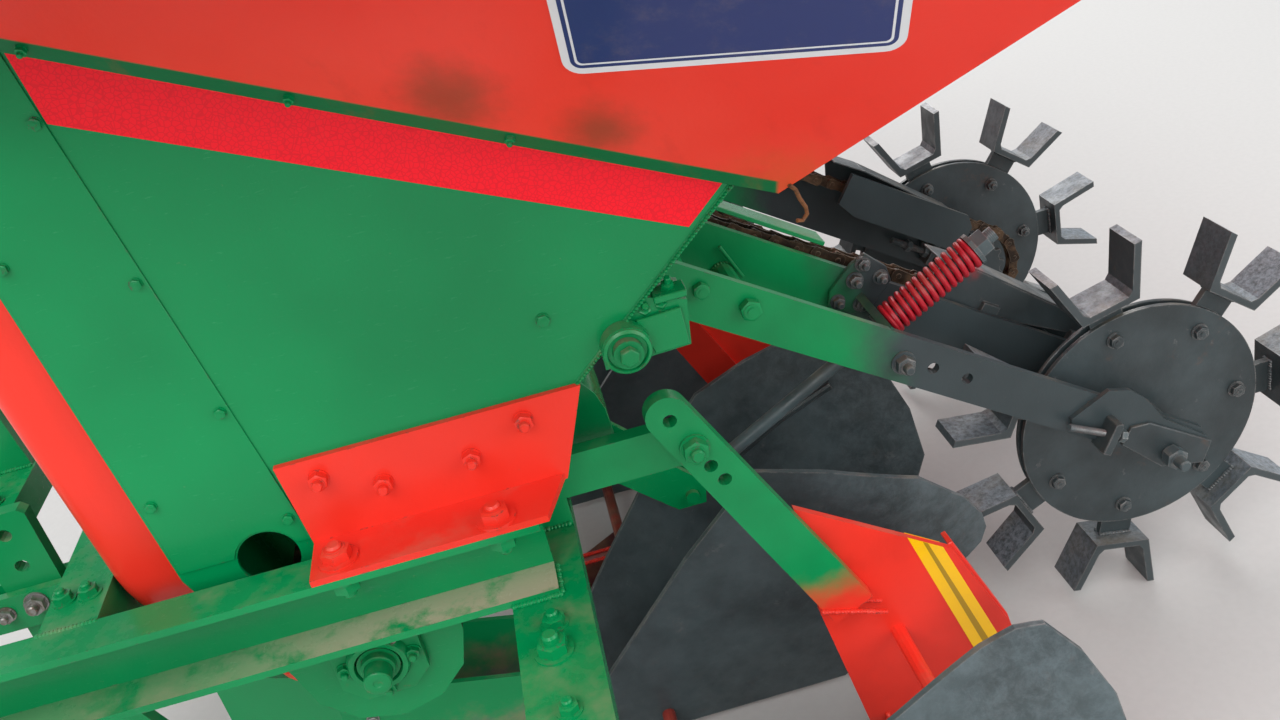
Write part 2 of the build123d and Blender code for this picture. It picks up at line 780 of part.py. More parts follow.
def make_opener():
    """Furrow opener: flat shank, two cheeks that meet at the nose, and a forward point."""
    nose_rear = opener_nose_x + 130
    duct_rear = opener_front_rear
    with BuildPart() as piece:
        with BuildSketch(Plane.XY.offset(share_thickness)) as low:
            with BuildLine():
                Polyline(
                    (opener_nose_x, -opener_y),
                    (nose_rear, -opener_y + opener_half),
                    (opener_rear_x, -opener_y + opener_half),
                    (opener_rear_x, -opener_y - opener_half),
                    (nose_rear, -opener_y - opener_half),
                    close=True,
                )
            make_face()
        extrude(low.sketch, amount=opener_height)
        with BuildSketch(Plane.XY) as hollow:
            inner = opener_half - cheek_thickness
            with BuildLine():
                Polyline(
                    (opener_nose_x + 22, -opener_y),
                    (nose_rear + 2, -opener_y + inner),
                    (opener_rear_x + 10, -opener_y + inner),
                    (opener_rear_x + 10, -opener_y - inner),
                    (nose_rear + 2, -opener_y - inner),
                    close=True,
                )
            make_face()
        extrude(hollow.sketch, amount=opener_height + 60, mode=Mode.SUBTRACT)
        top = opener_height + 30
        plate(
            [(duct_rear, top), (duct_rear, opener_height - 24), (opener_rear_x - 10, opener_height - 62),
             (opener_rear_x, opener_height - 150), (opener_rear_x - 24, 0), (opener_rear_x + 20, 0),
             (opener_rear_x + 20, top)],
            0, 2 * opener_y, mode=Mode.SUBTRACT,
        )
        plate(
            [(opener_nose_x - 46, 0), (opener_nose_x + 60, share_thickness), (opener_nose_x + 14, 60),
             (opener_nose_x + 4, 60)],
            -opener_y + 12, 24,
        )
        shank_high = frame_top + shank_top
        plate(
            [(opener_nose_x - 2, share_thickness), (opener_nose_x + 24, share_thickness),
             (shank_x + shank_half, opener_height), (shank_x + shank_half, shank_high - 6),
             (shank_x + shank_half - 6, shank_high), (shank_x - shank_half + 6, shank_high),
             (shank_x - shank_half, shank_high - 6), (shank_x - shank_half, opener_height)],
            -opener_y + shank_thickness / 2, shank_thickness,
        )
        for row in range(3):
            small_bar(shank_x, shank_high - 24 - row * shank_hole_pitch, shank_hole_radius, 0, 2 * opener_y,
                      mode=Mode.SUBTRACT)
    return piece.part


def make_shank_clamp():
    """Clamp cheeks that hold an opener's shank behind the front toolbar."""
    rear = front_toolbar_front + toolbar_width + seat_gap
    low = frame_bottom - channel_flange
    half = shank_thickness / 2
    with BuildPart() as piece:
        for y_high in (-opener_y + half + 10 + seat_gap, -opener_y - half - seat_gap):
            plate([(rear, low), (shank_x + shank_half + 14, low), (shank_x + shank_half + 14, frame_bottom),
                   (rear, frame_bottom)], y_high, 10)
    return piece.part


def make_bracket():
    """Bent bracket between the frame channel and the casing's side."""
    with BuildPart() as piece:
        with BuildSketch(Plane.XY.offset(frame_top)) as foot:
            with BuildLine():
                Polyline(
                    (bracket_front, -frame_half_width),
                    (bracket_rear - 22, -frame_half_width),
                    (bracket_rear, -casing_outer_y),
                    (bracket_front, -casing_outer_y),
                    close=True,
                )
            make_face()
        extrude(foot.sketch, amount=bracket_thickness)
        plate(
            [(bracket_front, frame_top), (bracket_rear, frame_top), (bracket_rear + 31, frame_top + bracket_height),
             (bracket_front - 7, frame_top + bracket_height)],
            -casing_outer_y, bracket_thickness,
        )
    return piece.part


def hopper_corners(x_rear, x_front, half_width, z_rear, z_front):
    """Four corners of one level of the hopper, in order round it."""
    return [
        Vector(x_rear, -half_width, z_rear), Vector(x_front, -half_width, z_front),
        Vector(x_front, half_width, z_front), Vector(x_rear, half_width, z_rear),
    ]


def flared_walls(bottom, top):
    """Solid between two levels of four corners, each wall folded along one diagonal."""
    faces = [Face(Wire.make_polygon(bottom)), Face(Wire.make_polygon(top))]
    for first in range(4):
        second = (first + 1) % 4
        if first < 2:
            folds = [(bottom[first], bottom[second], top[first]), (bottom[second], top[second], top[first])]
        else:
            folds = [(bottom[first], bottom[second], top[second]), (bottom[first], top[second], top[first])]
        faces += [Face(Wire.make_polygon(fold)) for fold in folds]
    return Solid(Shell(faces))


def make_hopper():
    """Hopper of four flared walls, a rim band and a sloping bottom with two outlets."""
    with BuildPart() as piece:
        for inset, mode in ((0, Mode.ADD), (hopper_wall, Mode.SUBTRACT)):
            rise = inset * 1.2
            bottom = hopper_corners(
                hopper_low_x - inset * 2, trunk_top_x + inset, hopper_bottom_half - inset * 1.5,
                hopper_low_z + rise, hopper_floor(trunk_top_x) + rise,
            )
            top = hopper_corners(
                hopper_rim_rear - inset, hopper_rim_front + inset, hopper_rim_half - inset,
                hopper_rim_height, hopper_rim_height,
            )
            add(flared_walls(bottom, top), mode=mode)
            with BuildSketch(Plane.XY.offset(hopper_rim_height)) as band:
                with Locations(((hopper_rim_rear + hopper_rim_front) / 2, 0)):
                    Rectangle(hopper_rim_rear - hopper_rim_front - 2 * inset, 2 * hopper_rim_half - 2 * inset)
            extrude(band.sketch, amount=hopper_band + inset, mode=mode)
        for side in (1, -1):
            with BuildSketch(Plane.XY.offset(hopper_low_z - 60)) as outlet:
                with Locations(((chamber_rear_x + trunk_top_x) / 2, side * casing_mid_y)):
                    Rectangle(chamber_rear_x - trunk_top_x - 30, casing_width - 2 * casing_wall - 4)
            extrude(outlet.sketch, amount=400, mode=Mode.SUBTRACT)
            with BuildSketch(Plane.XY.offset(hopper_floor(trunk_top_x) - 20)) as notch:
                with Locations((trunk_top_x, side * casing_mid_y)):
                    Rectangle(44, head_width + 2 * seat_gap)
            extrude(notch.sketch, amount=400, mode=Mode.SUBTRACT)
    return piece.part


def standard_outline():
    """Side view of a ridger's leaning standard, round at its top."""
    turn = atan2(standard_low_z - standard_top_z, standard_low_x - standard_top_x)
    across_x, across_z = -sin(turn), cos(turn)
    return [
        (standard_top_x + standard_top_half * across_x, standard_top_z + standard_top_half * across_z),
        (standard_low_x + standard_low_half * across_x, standard_low_z + standard_low_half * across_z),
        (standard_low_x - standard_low_half * across_x, standard_low_z - standard_low_half * across_z),
        (standard_top_x - standard_top_half * across_x, standard_top_z - standard_top_half * across_z),
    ]


def make_ridger_leg(layers, rail_high):
    """Leaning standard of one or two straps, bolted to a rail on the rear toolbar."""
    rear = rear_toolbar_front + toolbar_width
    rail_top = frame_top - 4
    rail_low = rail_top - rail_depth
    front = rear_toolbar_front + 13
    with BuildPart() as piece:
        plate([(front, rail_low), (rail_rear, rail_low), (rail_rear, rail_top), (front, rail_top)],
              rail_high, standard_thickness)
        plate([(rear_toolbar_front, frame_bottom), (rear, frame_bottom), (rear, rail_low), (rear_toolbar_front, rail_low)],
              rail_high, standard_thickness)
        for y_high, thickness in layers:
            plate(standard_outline(), y_high, thickness)
            cross_bar(standard_top_x, standard_top_z, standard_top_half, y_high, thickness)
        for x, z in standard_holes:
            small_bar(x, z, standard_hole_radius, rail_high + 50, 100, mode=Mode.SUBTRACT)
    return piece.part


def wing_reach(foot, z):
    """Distance from a ridger's middle plane to the inner face of a leaning wing."""
    lean = radians(wing_lean)
    return foot - wing_thickness / cos(lean) - (z - share_thickness) * tan(lean)


def make_ridger_body(y, high, thickness, feet):
    """Red ridger body: slanted plate, beam, flat share and the braces of the wings."""
    left_foot, right_foot = feet
    with BuildPart() as piece:
        plate(body_outline, high, thickness)
        plate(
            [(beam_front, share_thickness), (beam_front + 50, beam_height), (beam_rear, beam_height),
             (beam_rear, share_thickness)],
            high, thickness,
        )
        with BuildSketch(Plane.XY) as share:
            with BuildLine():
                Polyline(
                    (share_point, y), (share_point + 160, y + share_half), (share_point + 200, y + share_half * 0.6),
                    (beam_rear, y), (share_point + 200, y - share_half * 0.6), (share_point + 160, y - share_half),
                    close=True,
                )
            make_face()
        extrude(share.sketch, amount=share_thickness)
        for x, z in (front_brace, rear_brace):
            reach = [wing_reach(foot, z + brace_radius) - seat_gap for foot in feet]
            small_bar(x, z, brace_radius, y + reach[1], reach[0] + reach[1])
    return piece.part


def make_wing(y, side, foot, outline):
    """One leaning sheet with a bent tail, cut to its outline in side view."""
    lean = radians(wing_lean)
    plane = Plane(origin=(0, y + side * foot, share_thickness), x_dir=(1, 0, 0),
                  z_dir=(0, -side * sin(lean), cos(lean)))
    high = max(z for x, z in outline) * 1.1
    with BuildPart() as piece:
        with BuildSketch(plane) as strip:
            with BuildLine():
                straight = Line((wing_front - 5, 0), (wing_bend, 0))
                bend = TangentArc(straight @ 1, (wing_tail + 30, side * wing_flare), tangent=(1, 0))
                offset_straight = Line((wing_front - 5, -side * wing_thickness), (wing_bend, -side * wing_thickness))
                inner_bend = TangentArc(offset_straight @ 1, (wing_tail + 30, side * (wing_flare - wing_thickness)),
                                        tangent=(1, 0))
                Line(straight @ 0, offset_straight @ 0)
                Line(bend @ 1, inner_bend @ 1)
            make_face()
        extrude(strip.sketch, amount=high)
        plate(outline, y + 2 * foot, 4 * foot, mode=Mode.INTERSECT)
    return piece.part


def make_mouldboards(y, wings):
    """Both wings of a ridger, which throw the soil to the sides."""
    with BuildPart() as piece:
        for side, foot, outline in wings:
            add(make_wing(y, side, foot, outline))
    return piece.part


def make_cross_member():
    """Angle between the frame channels, in front of the seed ducts."""
    half = frame_half_width - channel_flange
    front = cross_member_x - 50
    with BuildPart() as piece:
        plate(
            [(front, frame_top), (cross_member_x, frame_top), (cross_member_x, frame_bottom),
             (cross_member_x - 6, frame_bottom), (cross_member_x - 6, frame_top - 6), (front, frame_top - 6)],
            half, 2 * half,
        )
    return piece.part


def make_mast():
    """Upper hitch: two uprights on the front toolbar, with braces."""
    top_z = lower_pin_z + mast_height
    with BuildPart() as piece:
        for y_high in (mast_gap / 2 + mast_plate, -mast_gap / 2):
            plate(
                [(front_toolbar_front + 2, frame_bottom), (front_toolbar_front + 62, frame_bottom),
                 (front_toolbar_front - 10, top_z + 40), (front_toolbar_front - 66, top_z + 40)],
                y_high, mast_plate,
            )
        inner = mast_gap / 2 + mast_plate
        with BuildSketch(cross_plane(front_toolbar_front + 4)) as brace:
            for side in (1, -1):
                with BuildLine():
                    Polyline((side * mast_foot, frame_bottom), (side * (mast_foot - 50), frame_bottom),
                             (side * inner, top_z - 150), (side * inner, top_z - 60), close=True)
                make_face()
        extrude(brace.sketch, amount=10)
        cross_bar(front_toolbar_front - 36, top_z, top_pin_radius + 0.4, 200, 400, mode=Mode.SUBTRACT)
    return piece.part


def make_lower_link(side):
    """Lower hitch plate with its pin."""
    mid = side * lower_plate_y
    half = lower_plate_thickness / 2
    with BuildPart() as piece:
        plate(
            [(front_toolbar_front, frame_bottom - channel_flange), (front_toolbar_front, frame_bottom + 60),
             (lower_pin_x, lower_pin_z + lower_plate_radius), (lower_pin_x - lower_plate_radius, lower_pin_z),
             (lower_pin_x, lower_pin_z - lower_plate_radius)],
            mid + half, lower_plate_thickness,
        )
        plate(
            [(front_toolbar_front, frame_bottom), (front_toolbar_front, frame_bottom + 60),
             (front_toolbar_front + toolbar_width, frame_bottom)],
            mid + half, lower_plate_thickness,
        )
        y_high = mid + half + lower_pin_reach if side > 0 else mid + half
        cross_bar(lower_pin_x, lower_pin_z, lower_pin_radius, y_high, lower_pin_reach + lower_plate_thickness)
    return piece.part


save_pair(make_frame_channel(), "frame_channel")
save(make_toolbar(rear_toolbar_front, toolbar_half_length), "toolbar_rear")
save(make_toolbar(front_toolbar_front, frame_half_width + 60), "toolbar_front")
save(make_mast(), "hitch_mast")
save(make_lower_link(-1), "hitch_link_left")
save(make_lower_link(1), "hitch_link_right")
save_pair(make_wheel(), "wheel")
save_pair(make_fork(), "fork")
save_pair(make_spring(), "pressure_spring")
save_pair(make_spring_rod(), "spring_rod")
save_pair(make_rod_anchor(), "rod_anchor")
save_pair(make_drive_chain(), "drive_chain")
save_pair(make_countershaft(), "countershaft")
save_pair(make_bearing_bracket(), "bearing_bracket")
save_pair(make_casing(), "seed_casing")
save_pair(make_boot_shaft(), "boot_shaft")
save_pair(make_cup_chain(), "cup_chain")
save_pair(make_head(), "elevator_head")
save_pair(make_head_shaft(), "head_shaft")
save_pair(make_duct(), "seed_duct")
save_pair(make_opener(), "furrow_opener")
save_pair(make_shank_clamp(), "shank_clamp")
save_pair(make_bracket(), "casing_bracket")
save(make_hopper(), "hopper")
save(make_cross_member(), "cross_member")

side_leg = make_ridger_leg([(-ridger_spacing, standard_thickness)], -ridger_spacing + standard_thickness)
save_pair(side_leg, "ridger_leg")
side_feet = (outer_wing_foot, inner_wing_foot)
save_pair(make_ridger_body(-ridger_spacing, -ridger_spacing + body_thickness, body_thickness, side_feet), "ridger_body")
side_wings = [(-1, outer_wing_foot, outer_wing_outline), (1, inner_wing_foot, inner_wing_outline)]
save_pair(make_mouldboards(-ridger_spacing, side_wings), "mouldboards")

half_rail = standard_thickness / 2
centre_layers = [(half_rail + strap_thickness, strap_thickness), (-half_rail, strap_thickness)]
save(make_ridger_leg(centre_layers, half_rail), "ridger_leg_centre")
centre_feet = (outer_wing_foot, outer_wing_foot)
save(make_ridger_body(0, half_rail, standard_thickness, centre_feet), "ridger_body_centre")
centre_wings = [(side, outer_wing_foot, centre_wing_outline) for side in (-1, 1)]
save(make_mouldboards(0, centre_wings), "mouldboards_centre")
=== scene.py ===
"""Dressing of a two-row potato planter: finishes, fasteners, chains, springs and stage.

Lengths are in millimetres in the frame's axes, X to the rear, Y to the right and Z up,
and become metres where a mesh is made.  The left side is modelled and mirrored.
"""
import json
from math import acos, atan2, cos, hypot, pi, radians, sin, tan

import bmesh
import bpy
from bpy.props import FloatProperty, FloatVectorProperty, IntProperty, PointerProperty
from mathutils import Matrix, Vector


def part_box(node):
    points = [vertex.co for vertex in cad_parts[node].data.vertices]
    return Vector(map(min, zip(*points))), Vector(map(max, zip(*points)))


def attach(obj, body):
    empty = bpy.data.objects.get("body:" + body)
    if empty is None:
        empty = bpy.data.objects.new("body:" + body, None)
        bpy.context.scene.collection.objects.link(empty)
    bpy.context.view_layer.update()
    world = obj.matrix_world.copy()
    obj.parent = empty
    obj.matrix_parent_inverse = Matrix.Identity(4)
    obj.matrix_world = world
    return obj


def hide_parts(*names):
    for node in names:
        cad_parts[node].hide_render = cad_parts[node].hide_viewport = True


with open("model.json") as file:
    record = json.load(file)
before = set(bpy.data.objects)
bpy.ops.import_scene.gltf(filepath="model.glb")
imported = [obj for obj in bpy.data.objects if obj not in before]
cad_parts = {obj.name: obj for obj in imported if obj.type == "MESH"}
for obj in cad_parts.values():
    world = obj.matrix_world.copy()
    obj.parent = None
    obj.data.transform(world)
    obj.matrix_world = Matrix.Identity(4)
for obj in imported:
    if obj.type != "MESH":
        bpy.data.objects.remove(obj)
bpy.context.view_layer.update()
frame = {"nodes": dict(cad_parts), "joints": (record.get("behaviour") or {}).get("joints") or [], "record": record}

bl_info = {
    "name": "Potato Planter Dressing",
    "version": (1, 0, 0),
    "blender": (4, 5, 0),
    "location": "3D View > Sidebar > Planter",
    "description": "Finishes and fits out the two-row potato planter around its frame",
    "category": "Object",
}

MM = 0.001

# The photograph's view: where the camera stands and how it is turned
CAMERA_PLACE = (0.0, -1.323, 1.055)
CAMERA_RIGHT = (0.963, -0.174, -0.206)
CAMERA_DOWN = (-0.2635, -0.446, -0.855)
CAMERA_LENS_MM = 32.34
CAMERA_SENSOR_MM = 36.0

# Directions that fasteners face, and the factor of Y for each side
LEFT, RIGHT, UP = (0, -1, 0), (0, 1, 0), (0, 0, 1)
SIDES = ((1, "left"), (-1, "right"))


def limits(node):
    """Lowest and highest corners of a frame node in millimetres."""
    low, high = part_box(node)
    return low / MM, high / MM


# Places worked out from the frame
CHANNEL_LOW, CHANNEL_HIGH = limits("frame_channel_left")
LIP_Y, FRAME_LOW, FRAME_TOP = CHANNEL_LOW.y, CHANNEL_LOW.z, CHANNEL_HIGH.z
TOOLBAR_LOW, TOOLBAR_HIGH = limits("toolbar_rear")
FRONT_LOW, FRONT_HIGH = limits("toolbar_front")
HOPPER_LOW, HOPPER_HIGH = limits("hopper")
LINK_LOW = limits("hitch_link_left")[0]
SIDE_Y = limits("seed_casing_left")[0].y
BRACKET_FACE_Y = SIDE_Y - 6
BEARING_FACE_Y = limits("bearing_bracket_left")[0].y
AXLE_X, AXLE_Y, AXLE_Z = (place / MM for place in frame["joints"][0]["pos_m"])
ARM_FACE_Y = AXLE_Y - 55

# Shafts, and the faces that their bearings stand on
PIVOT_X, PIVOT_Z = 45.0, 623.0
BOOT_X, BOOT_Z = -237.0, 385.0
HEAD_X, HEAD_Z = -350.0, 1170.0
SHAFT_RADIUS = 12.7
INNER_SIDE_Y = -230.0
HEAD_OUTER_Y, HEAD_INNER_Y = -440.0, -280.0
FLANGE_DEPTH = 10.3
LAP_RISE = 1.7

# Hopper corners: low rear, low front and rim rear of the left end wall
WALL_LOW_REAR = Vector((185.0, -515.0, 725.0))
WALL_LOW_FRONT = Vector((-406.0, -515.0, 1007.5))
WALL_RIM_REAR = Vector((565.0, -838.0, 1015.0))
WALL_NORMAL = (WALL_RIM_REAR - WALL_LOW_REAR).cross(WALL_LOW_FRONT - WALL_LOW_REAR).normalized()
WALL_SLOPE = (WALL_LOW_FRONT.z - WALL_LOW_REAR.z) / (WALL_LOW_FRONT.x - WALL_LOW_REAR.x)

# Roller chain and its two wheels
CHAIN_Y = -187.0
CHAIN_PITCH = 25.4
WHEEL_TEETH = 16
SHAFT_TEETH = 8

# Pressure spring: where it sits on the fork and how it leans
SPRING_SEAT = Vector((338.0, -263.0, 447.0))
SPRING_ANGLE = radians(29.0)
SPRING_AIM = Vector((cos(SPRING_ANGLE), 0, sin(SPRING_ANGLE)))
SPRING_LENGTH = 114.0
SPRING_RADIUS = 19.0

# Fork arm from its pivot to the axle, and the mouldboards' lean
ARM_TURN = atan2(AXLE_Z - PIVOT_Z, AXLE_X - PIVOT_X)
ARM_AIM = Vector((cos(ARM_TURN), 0, sin(ARM_TURN)))
ARM_LENGTH = hypot(AXLE_X - PIVOT_X, AXLE_Z - PIVOT_Z)
LUG_COUNT = 7
LUG_PHASE = radians(2.0)
RIDGER_Y = 455.0
WING_LEAN = tan(radians(12.5))

# Heights of the seed duct: height, rear face, depth, width and middle of its width
DUCT_LEVELS = ((1144.0, -420.0, 64.0, 160.0, -360.0), (960.0, -405.0, 64.0, 220.0, -360.0),
               (490.0, -366.0, 64.0, 220.0, -360.0), (263.0, -318.0, 60.0, 92.0, -300.0))

# Tones that lie over the paints or show through them
DUST = (0.30, 0.235, 0.155)
RUST = (0.16, 0.060, 0.022)
CHIPPED = (0.075, 0.058, 0.045)
ORANGE = (0.60, 0.105, 0.022)
OVERSPRAY = (0.10, 0.055, 0.020)
RED_SPRAY = (0.75, 0.02, 0.03)
PALE_EARTH = (0.36, 0.31, 0.22)

# The finish of each frame node; any other takes the one its slot is named after
NODE_FINISH = {
    "hopper": "hopper_enamel",
    "frame_channel": "channel_enamel",
    "fork": "fork_enamel",
    "countershaft": "bearing_enamel",
    "boot_shaft": "bearing_enamel",
    "head_shaft": "bearing_enamel",
    "spring_rod": "tightener_paint",
    "ridger_leg": "standard_enamel",
    "ridger_leg_centre": "centre_standard_enamel",
    "ridger_body": "ridger_enamel",
    "wheel": "wheel_iron",
    "mouldboards": "mouldboard_paint",
    "furrow_opener": "opener_paint",
}

MATERIALS = {}
TREES = {}
PAINT = {"subtype": "COLOR", "size": 3, "min": 0, "max": 1}
LENGTH = {"unit": "LENGTH", "subtype": "DISTANCE"}


class PlanterColours(bpy.types.PropertyGroup):
    """Colours of the paints, the sign and the tape."""

    red: FloatVectorProperty(
        name="Red enamel", description="Hopper, ducts, brackets and ridger bodies",
        default=(0.83, 0.034, 0.018), **PAINT)
    green: FloatVectorProperty(
        name="Green enamel", description="Frame, seed casings and fork arms",
        default=(0.0, 0.25, 0.072), **PAINT)
    iron: FloatVectorProperty(
        name="Dark paint", description="Land wheels, mouldboards and the rear of the forks",
        default=(0.021, 0.029, 0.031), **PAINT)
    spring: FloatVectorProperty(
        name="Spring paint", description="Pressure springs", default=(0.42, 0.010, 0.022), **PAINT)
    tape: FloatVectorProperty(
        name="Reflective tape", description="Red tape along the seed casings",
        default=(0.92, 0.0, 0.014), **PAINT)
    stripe: FloatVectorProperty(
        name="Stripe", description="Yellow stripes on the ridger bodies", default=(0.90, 0.50, 0.0), **PAINT)
    sign: FloatVectorProperty(
        name="Sign", description="Field of the blank sign on the hopper",
        default=(0.020, 0.035, 0.15), **PAINT)
    floor: FloatVectorProperty(
        name="Floor", description="Floor under the planter", default=(0.50, 0.49, 0.475), **PAINT)


class PlanterSizes(bpy.types.PropertyGroup):
    """Sizes of what repeats or is fitted."""

    spring_turns: FloatProperty(
        name="Spring turns", description="Turns of each pressure spring", default=13.5, min=5, max=20)
    spring_wire: FloatProperty(
        name="Spring wire", description="Thickness of the spring wire",
        default=6.5 * MM, min=2 * MM, max=8 * MM, **LENGTH)
    weld_pitch: FloatProperty(
        name="Weld pitch", description="Distance between the ripples of a weld",
        default=3.2 * MM, min=2 * MM, max=10 * MM, **LENGTH)
    weld_width: FloatProperty(
        name="Weld width", description="Half the width of a weld bead",
        default=3.4 * MM, min=1 * MM, max=8 * MM, **LENGTH)
    tape_width: FloatProperty(
        name="Tape width", description="Depth of the reflective tape",
        default=52 * MM, min=20 * MM, max=80 * MM, **LENGTH)
    sign_height: FloatProperty(
        name="Sign height", description="Height of the blank sign on the hopper",
        default=118 * MM, min=60 * MM, max=150 * MM, **LENGTH)
    link_plate: FloatProperty(
        name="Link plate", description="Height of a chain's link plates",
        default=17 * MM, min=10 * MM, max=18 * MM, **LENGTH)
    seed: IntProperty(
        name="Seed", description="Start of every random turn and size", default=7, min=0)


class PlanterStage(bpy.types.PropertyGroup):
    """Light of the stage."""

    lamp_power: FloatProperty(
        name="Lamp power", description="Power of the main lamp in watts", default=168, min=1, unit="POWER")
    sky_strength: FloatProperty(
        name="Sky strength", description="Strength of the world's light", default=0.86, min=0, max=2)


def colour(name):
    """A colour that the user set, as three numbers."""
    return tuple(getattr(bpy.context.scene.planter_colours, name))


def size(name):
    """A size that the user set."""
    return getattr(bpy.context.scene.planter_sizes, name)


def darker(base, share):
    """A colour at a share of its brightness."""
    return tuple(channel * share for channel in base)


def add_object(name, data):
    """A new object in the scene."""
    made = bpy.data.objects.new(name, data)
    bpy.context.collection.objects.link(made)
    return made


class Nodes:
    """What a finish and a Geometry Nodes tree share: adding nodes to a tree."""

    def feed(self, socket, value):
        """Link an output to a socket, or set its constant."""
        if isinstance(value, bpy.types.NodeSocket):
            self.tree.links.new(value, socket)
        else:
            socket.default_value = value

    def node(self, kind, feeds=(), **settings):
        """Add a node with its settings, then link or set its inputs by name or number."""
        made = self.tree.nodes.new(kind)
        for key, value in settings.items():
            setattr(made, key, value)
        for key, value in dict(feeds).items():
            self.feed(made.inputs[key], value)
        return made

    def out(self, kind, feeds=(), **settings):
        """Add a node and return its first output."""
        return self.node(kind, feeds, **settings).outputs[0]

    def maths(self, operation, first, second=0.0):
        """One arithmetic step."""
        return self.out("ShaderNodeMath", {0: first, 1: second}, operation=operation)


class Finish(Nodes):
    """One material built from nodes on Object coordinates."""

    def __init__(self, name):
        self.material = bpy.data.materials.new(name)
        self.material.use_nodes = True
        self.tree = self.material.node_tree
        self.place = self.node("ShaderNodeTexCoord").outputs["Object"]
        MATERIALS[name] = self.material

    def stretched(self, scale, turn=(0.0, 0.0, 0.0)):
        """Object coordinates turned and scaled by axis, for grain that runs one way."""
        return self.out("ShaderNodeMapping", {"Vector": self.place, "Rotation": turn, "Scale": scale})

    def noise(self, scale, detail=4.0, roughness=0.55, vector=None, distortion=0.0):
        """Fractal noise, from 0 to 1, with this many cells a metre."""
        return self.node("ShaderNodeTexNoise", {
            "Vector": vector or self.place, "Scale": scale, "Detail": detail, "Roughness": roughness,
            "Distortion": distortion}).outputs["Fac"]

    def span(self, value, low, high, to_low=0.0, to_high=1.0):
        """Value from low to high, smoothly spread over another span."""
        return self.out("ShaderNodeMapRange", {
            "Value": value, "From Min": low, "From Max": high, "To Min": to_low, "To Max": to_high,
        }, interpolation_type="SMOOTHSTEP")

    def patches(self, scale, low, high, *noise):
        """Soft patches, from 0 to 1, where noise lies between two levels."""
        return self.span(self.noise(scale, *noise), low, high)

    def times(self, *values):
        """Product of several values."""
        result = values[0]
        for value in values[1:]:
            result = self.maths("MULTIPLY", result, value)
        return result

    def blend(self, factor, first, second):
        """Mix two colours."""
        made = self.node("ShaderNodeMix", data_type="RGBA")
        self.feed(made.inputs["Factor"], factor)
        for label, value in (("A", first), ("B", second)):
            if isinstance(value, tuple):
                value = (*value, 1.0)
            self.feed([s for s in made.inputs if s.name == label and s.type == "RGBA"][0], value)
        return [s for s in made.outputs if s.type == "RGBA"][0]

    def over(self, coat, base, *shares):
        """A colour laid over a coat by the product of some shares."""
        return self.blend(self.times(*shares), coat, base)

    def toned(self, base, share, scale, detail=4.0):
        """A colour with a darker tone where it lies thin."""
        return self.over(base, darker(base, share), self.patches(scale, 0.35, 0.7, detail))

    def edges(self, reach):
        """Where two faces meet at an edge, from 0 to 1."""
        worn = self.out("ShaderNodeBevel", {"Radius": reach}, samples=4)
        normal = self.node("ShaderNodeNewGeometry").outputs["Normal"]
        dot = self.node("ShaderNodeVectorMath", {0: worn, 1: normal}, operation="DOT_PRODUCT")
        return self.span(dot.outputs["Value"], 0.955, 0.85)

    def upward(self, low, high):
        """How far a face looks up, from 0 to 1."""
        normal = self.node("ShaderNodeNewGeometry").outputs["Normal"]
        return self.span(self.node("ShaderNodeSeparateXYZ", {0: normal}).outputs["Z"], low, high)

    def axis(self, letter):
        """One Object coordinate in metres."""
        return self.node("ShaderNodeSeparateXYZ", {0: self.place}).outputs[letter]

    def ragged(self, letter, reach, *noise):
        """One Object coordinate, shifted to and fro by noise."""
        shift = self.maths("SUBTRACT", self.noise(*noise), 0.5)
        return self.maths("ADD", self.axis(letter), self.times(shift, reach))

    def near(self, place, reach, ragged=0.35):
        """Ragged round patch about a place in millimetres, from 1 at its middle to 0."""
        away = self.node("ShaderNodeVectorMath", {0: self.place, 1: Vector(place) * MM}, operation="DISTANCE")
        rough = self.times(self.noise(38.0, 5.0, 0.6), ragged * reach * MM * 2)
        away = self.maths("ADD", away.outputs["Value"], rough)
        return self.span(away, reach * MM * 1.3, reach * MM * 0.35)

    def from_axle(self):
        """Distance from the land wheels' axle in metres."""
        x = self.maths("SUBTRACT", self.axis("X"), AXLE_X * MM)
        z = self.maths("SUBTRACT", self.axis("Z"), AXLE_Z * MM)
        return self.maths("SQRT", self.maths("ADD", self.times(x, x), self.times(z, z)))

    def bump(self, height, distance, strength, after=None):
        """Raise the surface by a height pattern, over an earlier one where it is given."""
        feeds = {"Strength": strength, "Distance": distance, "Height": height}
        if after is not None:
            feeds["Normal"] = after
        return self.out("ShaderNodeBump", feeds)

    def finish(self, base, roughness, normal, metallic=0.0, coat=0.0, coat_roughness=0.1, specular=0.30):
        """Wire the results to the shader."""
        shader = self.tree.nodes["Principled BSDF"]
        feeds = {"Base Color": base, "Roughness": roughness, "Normal": normal, "Metallic": metallic,
                 "Coat Weight": coat, "Coat Roughness": coat_roughness, "Specular IOR Level": specular}
        for label, value in feeds.items():
            self.feed(shader.inputs[label], value)
        return self.material


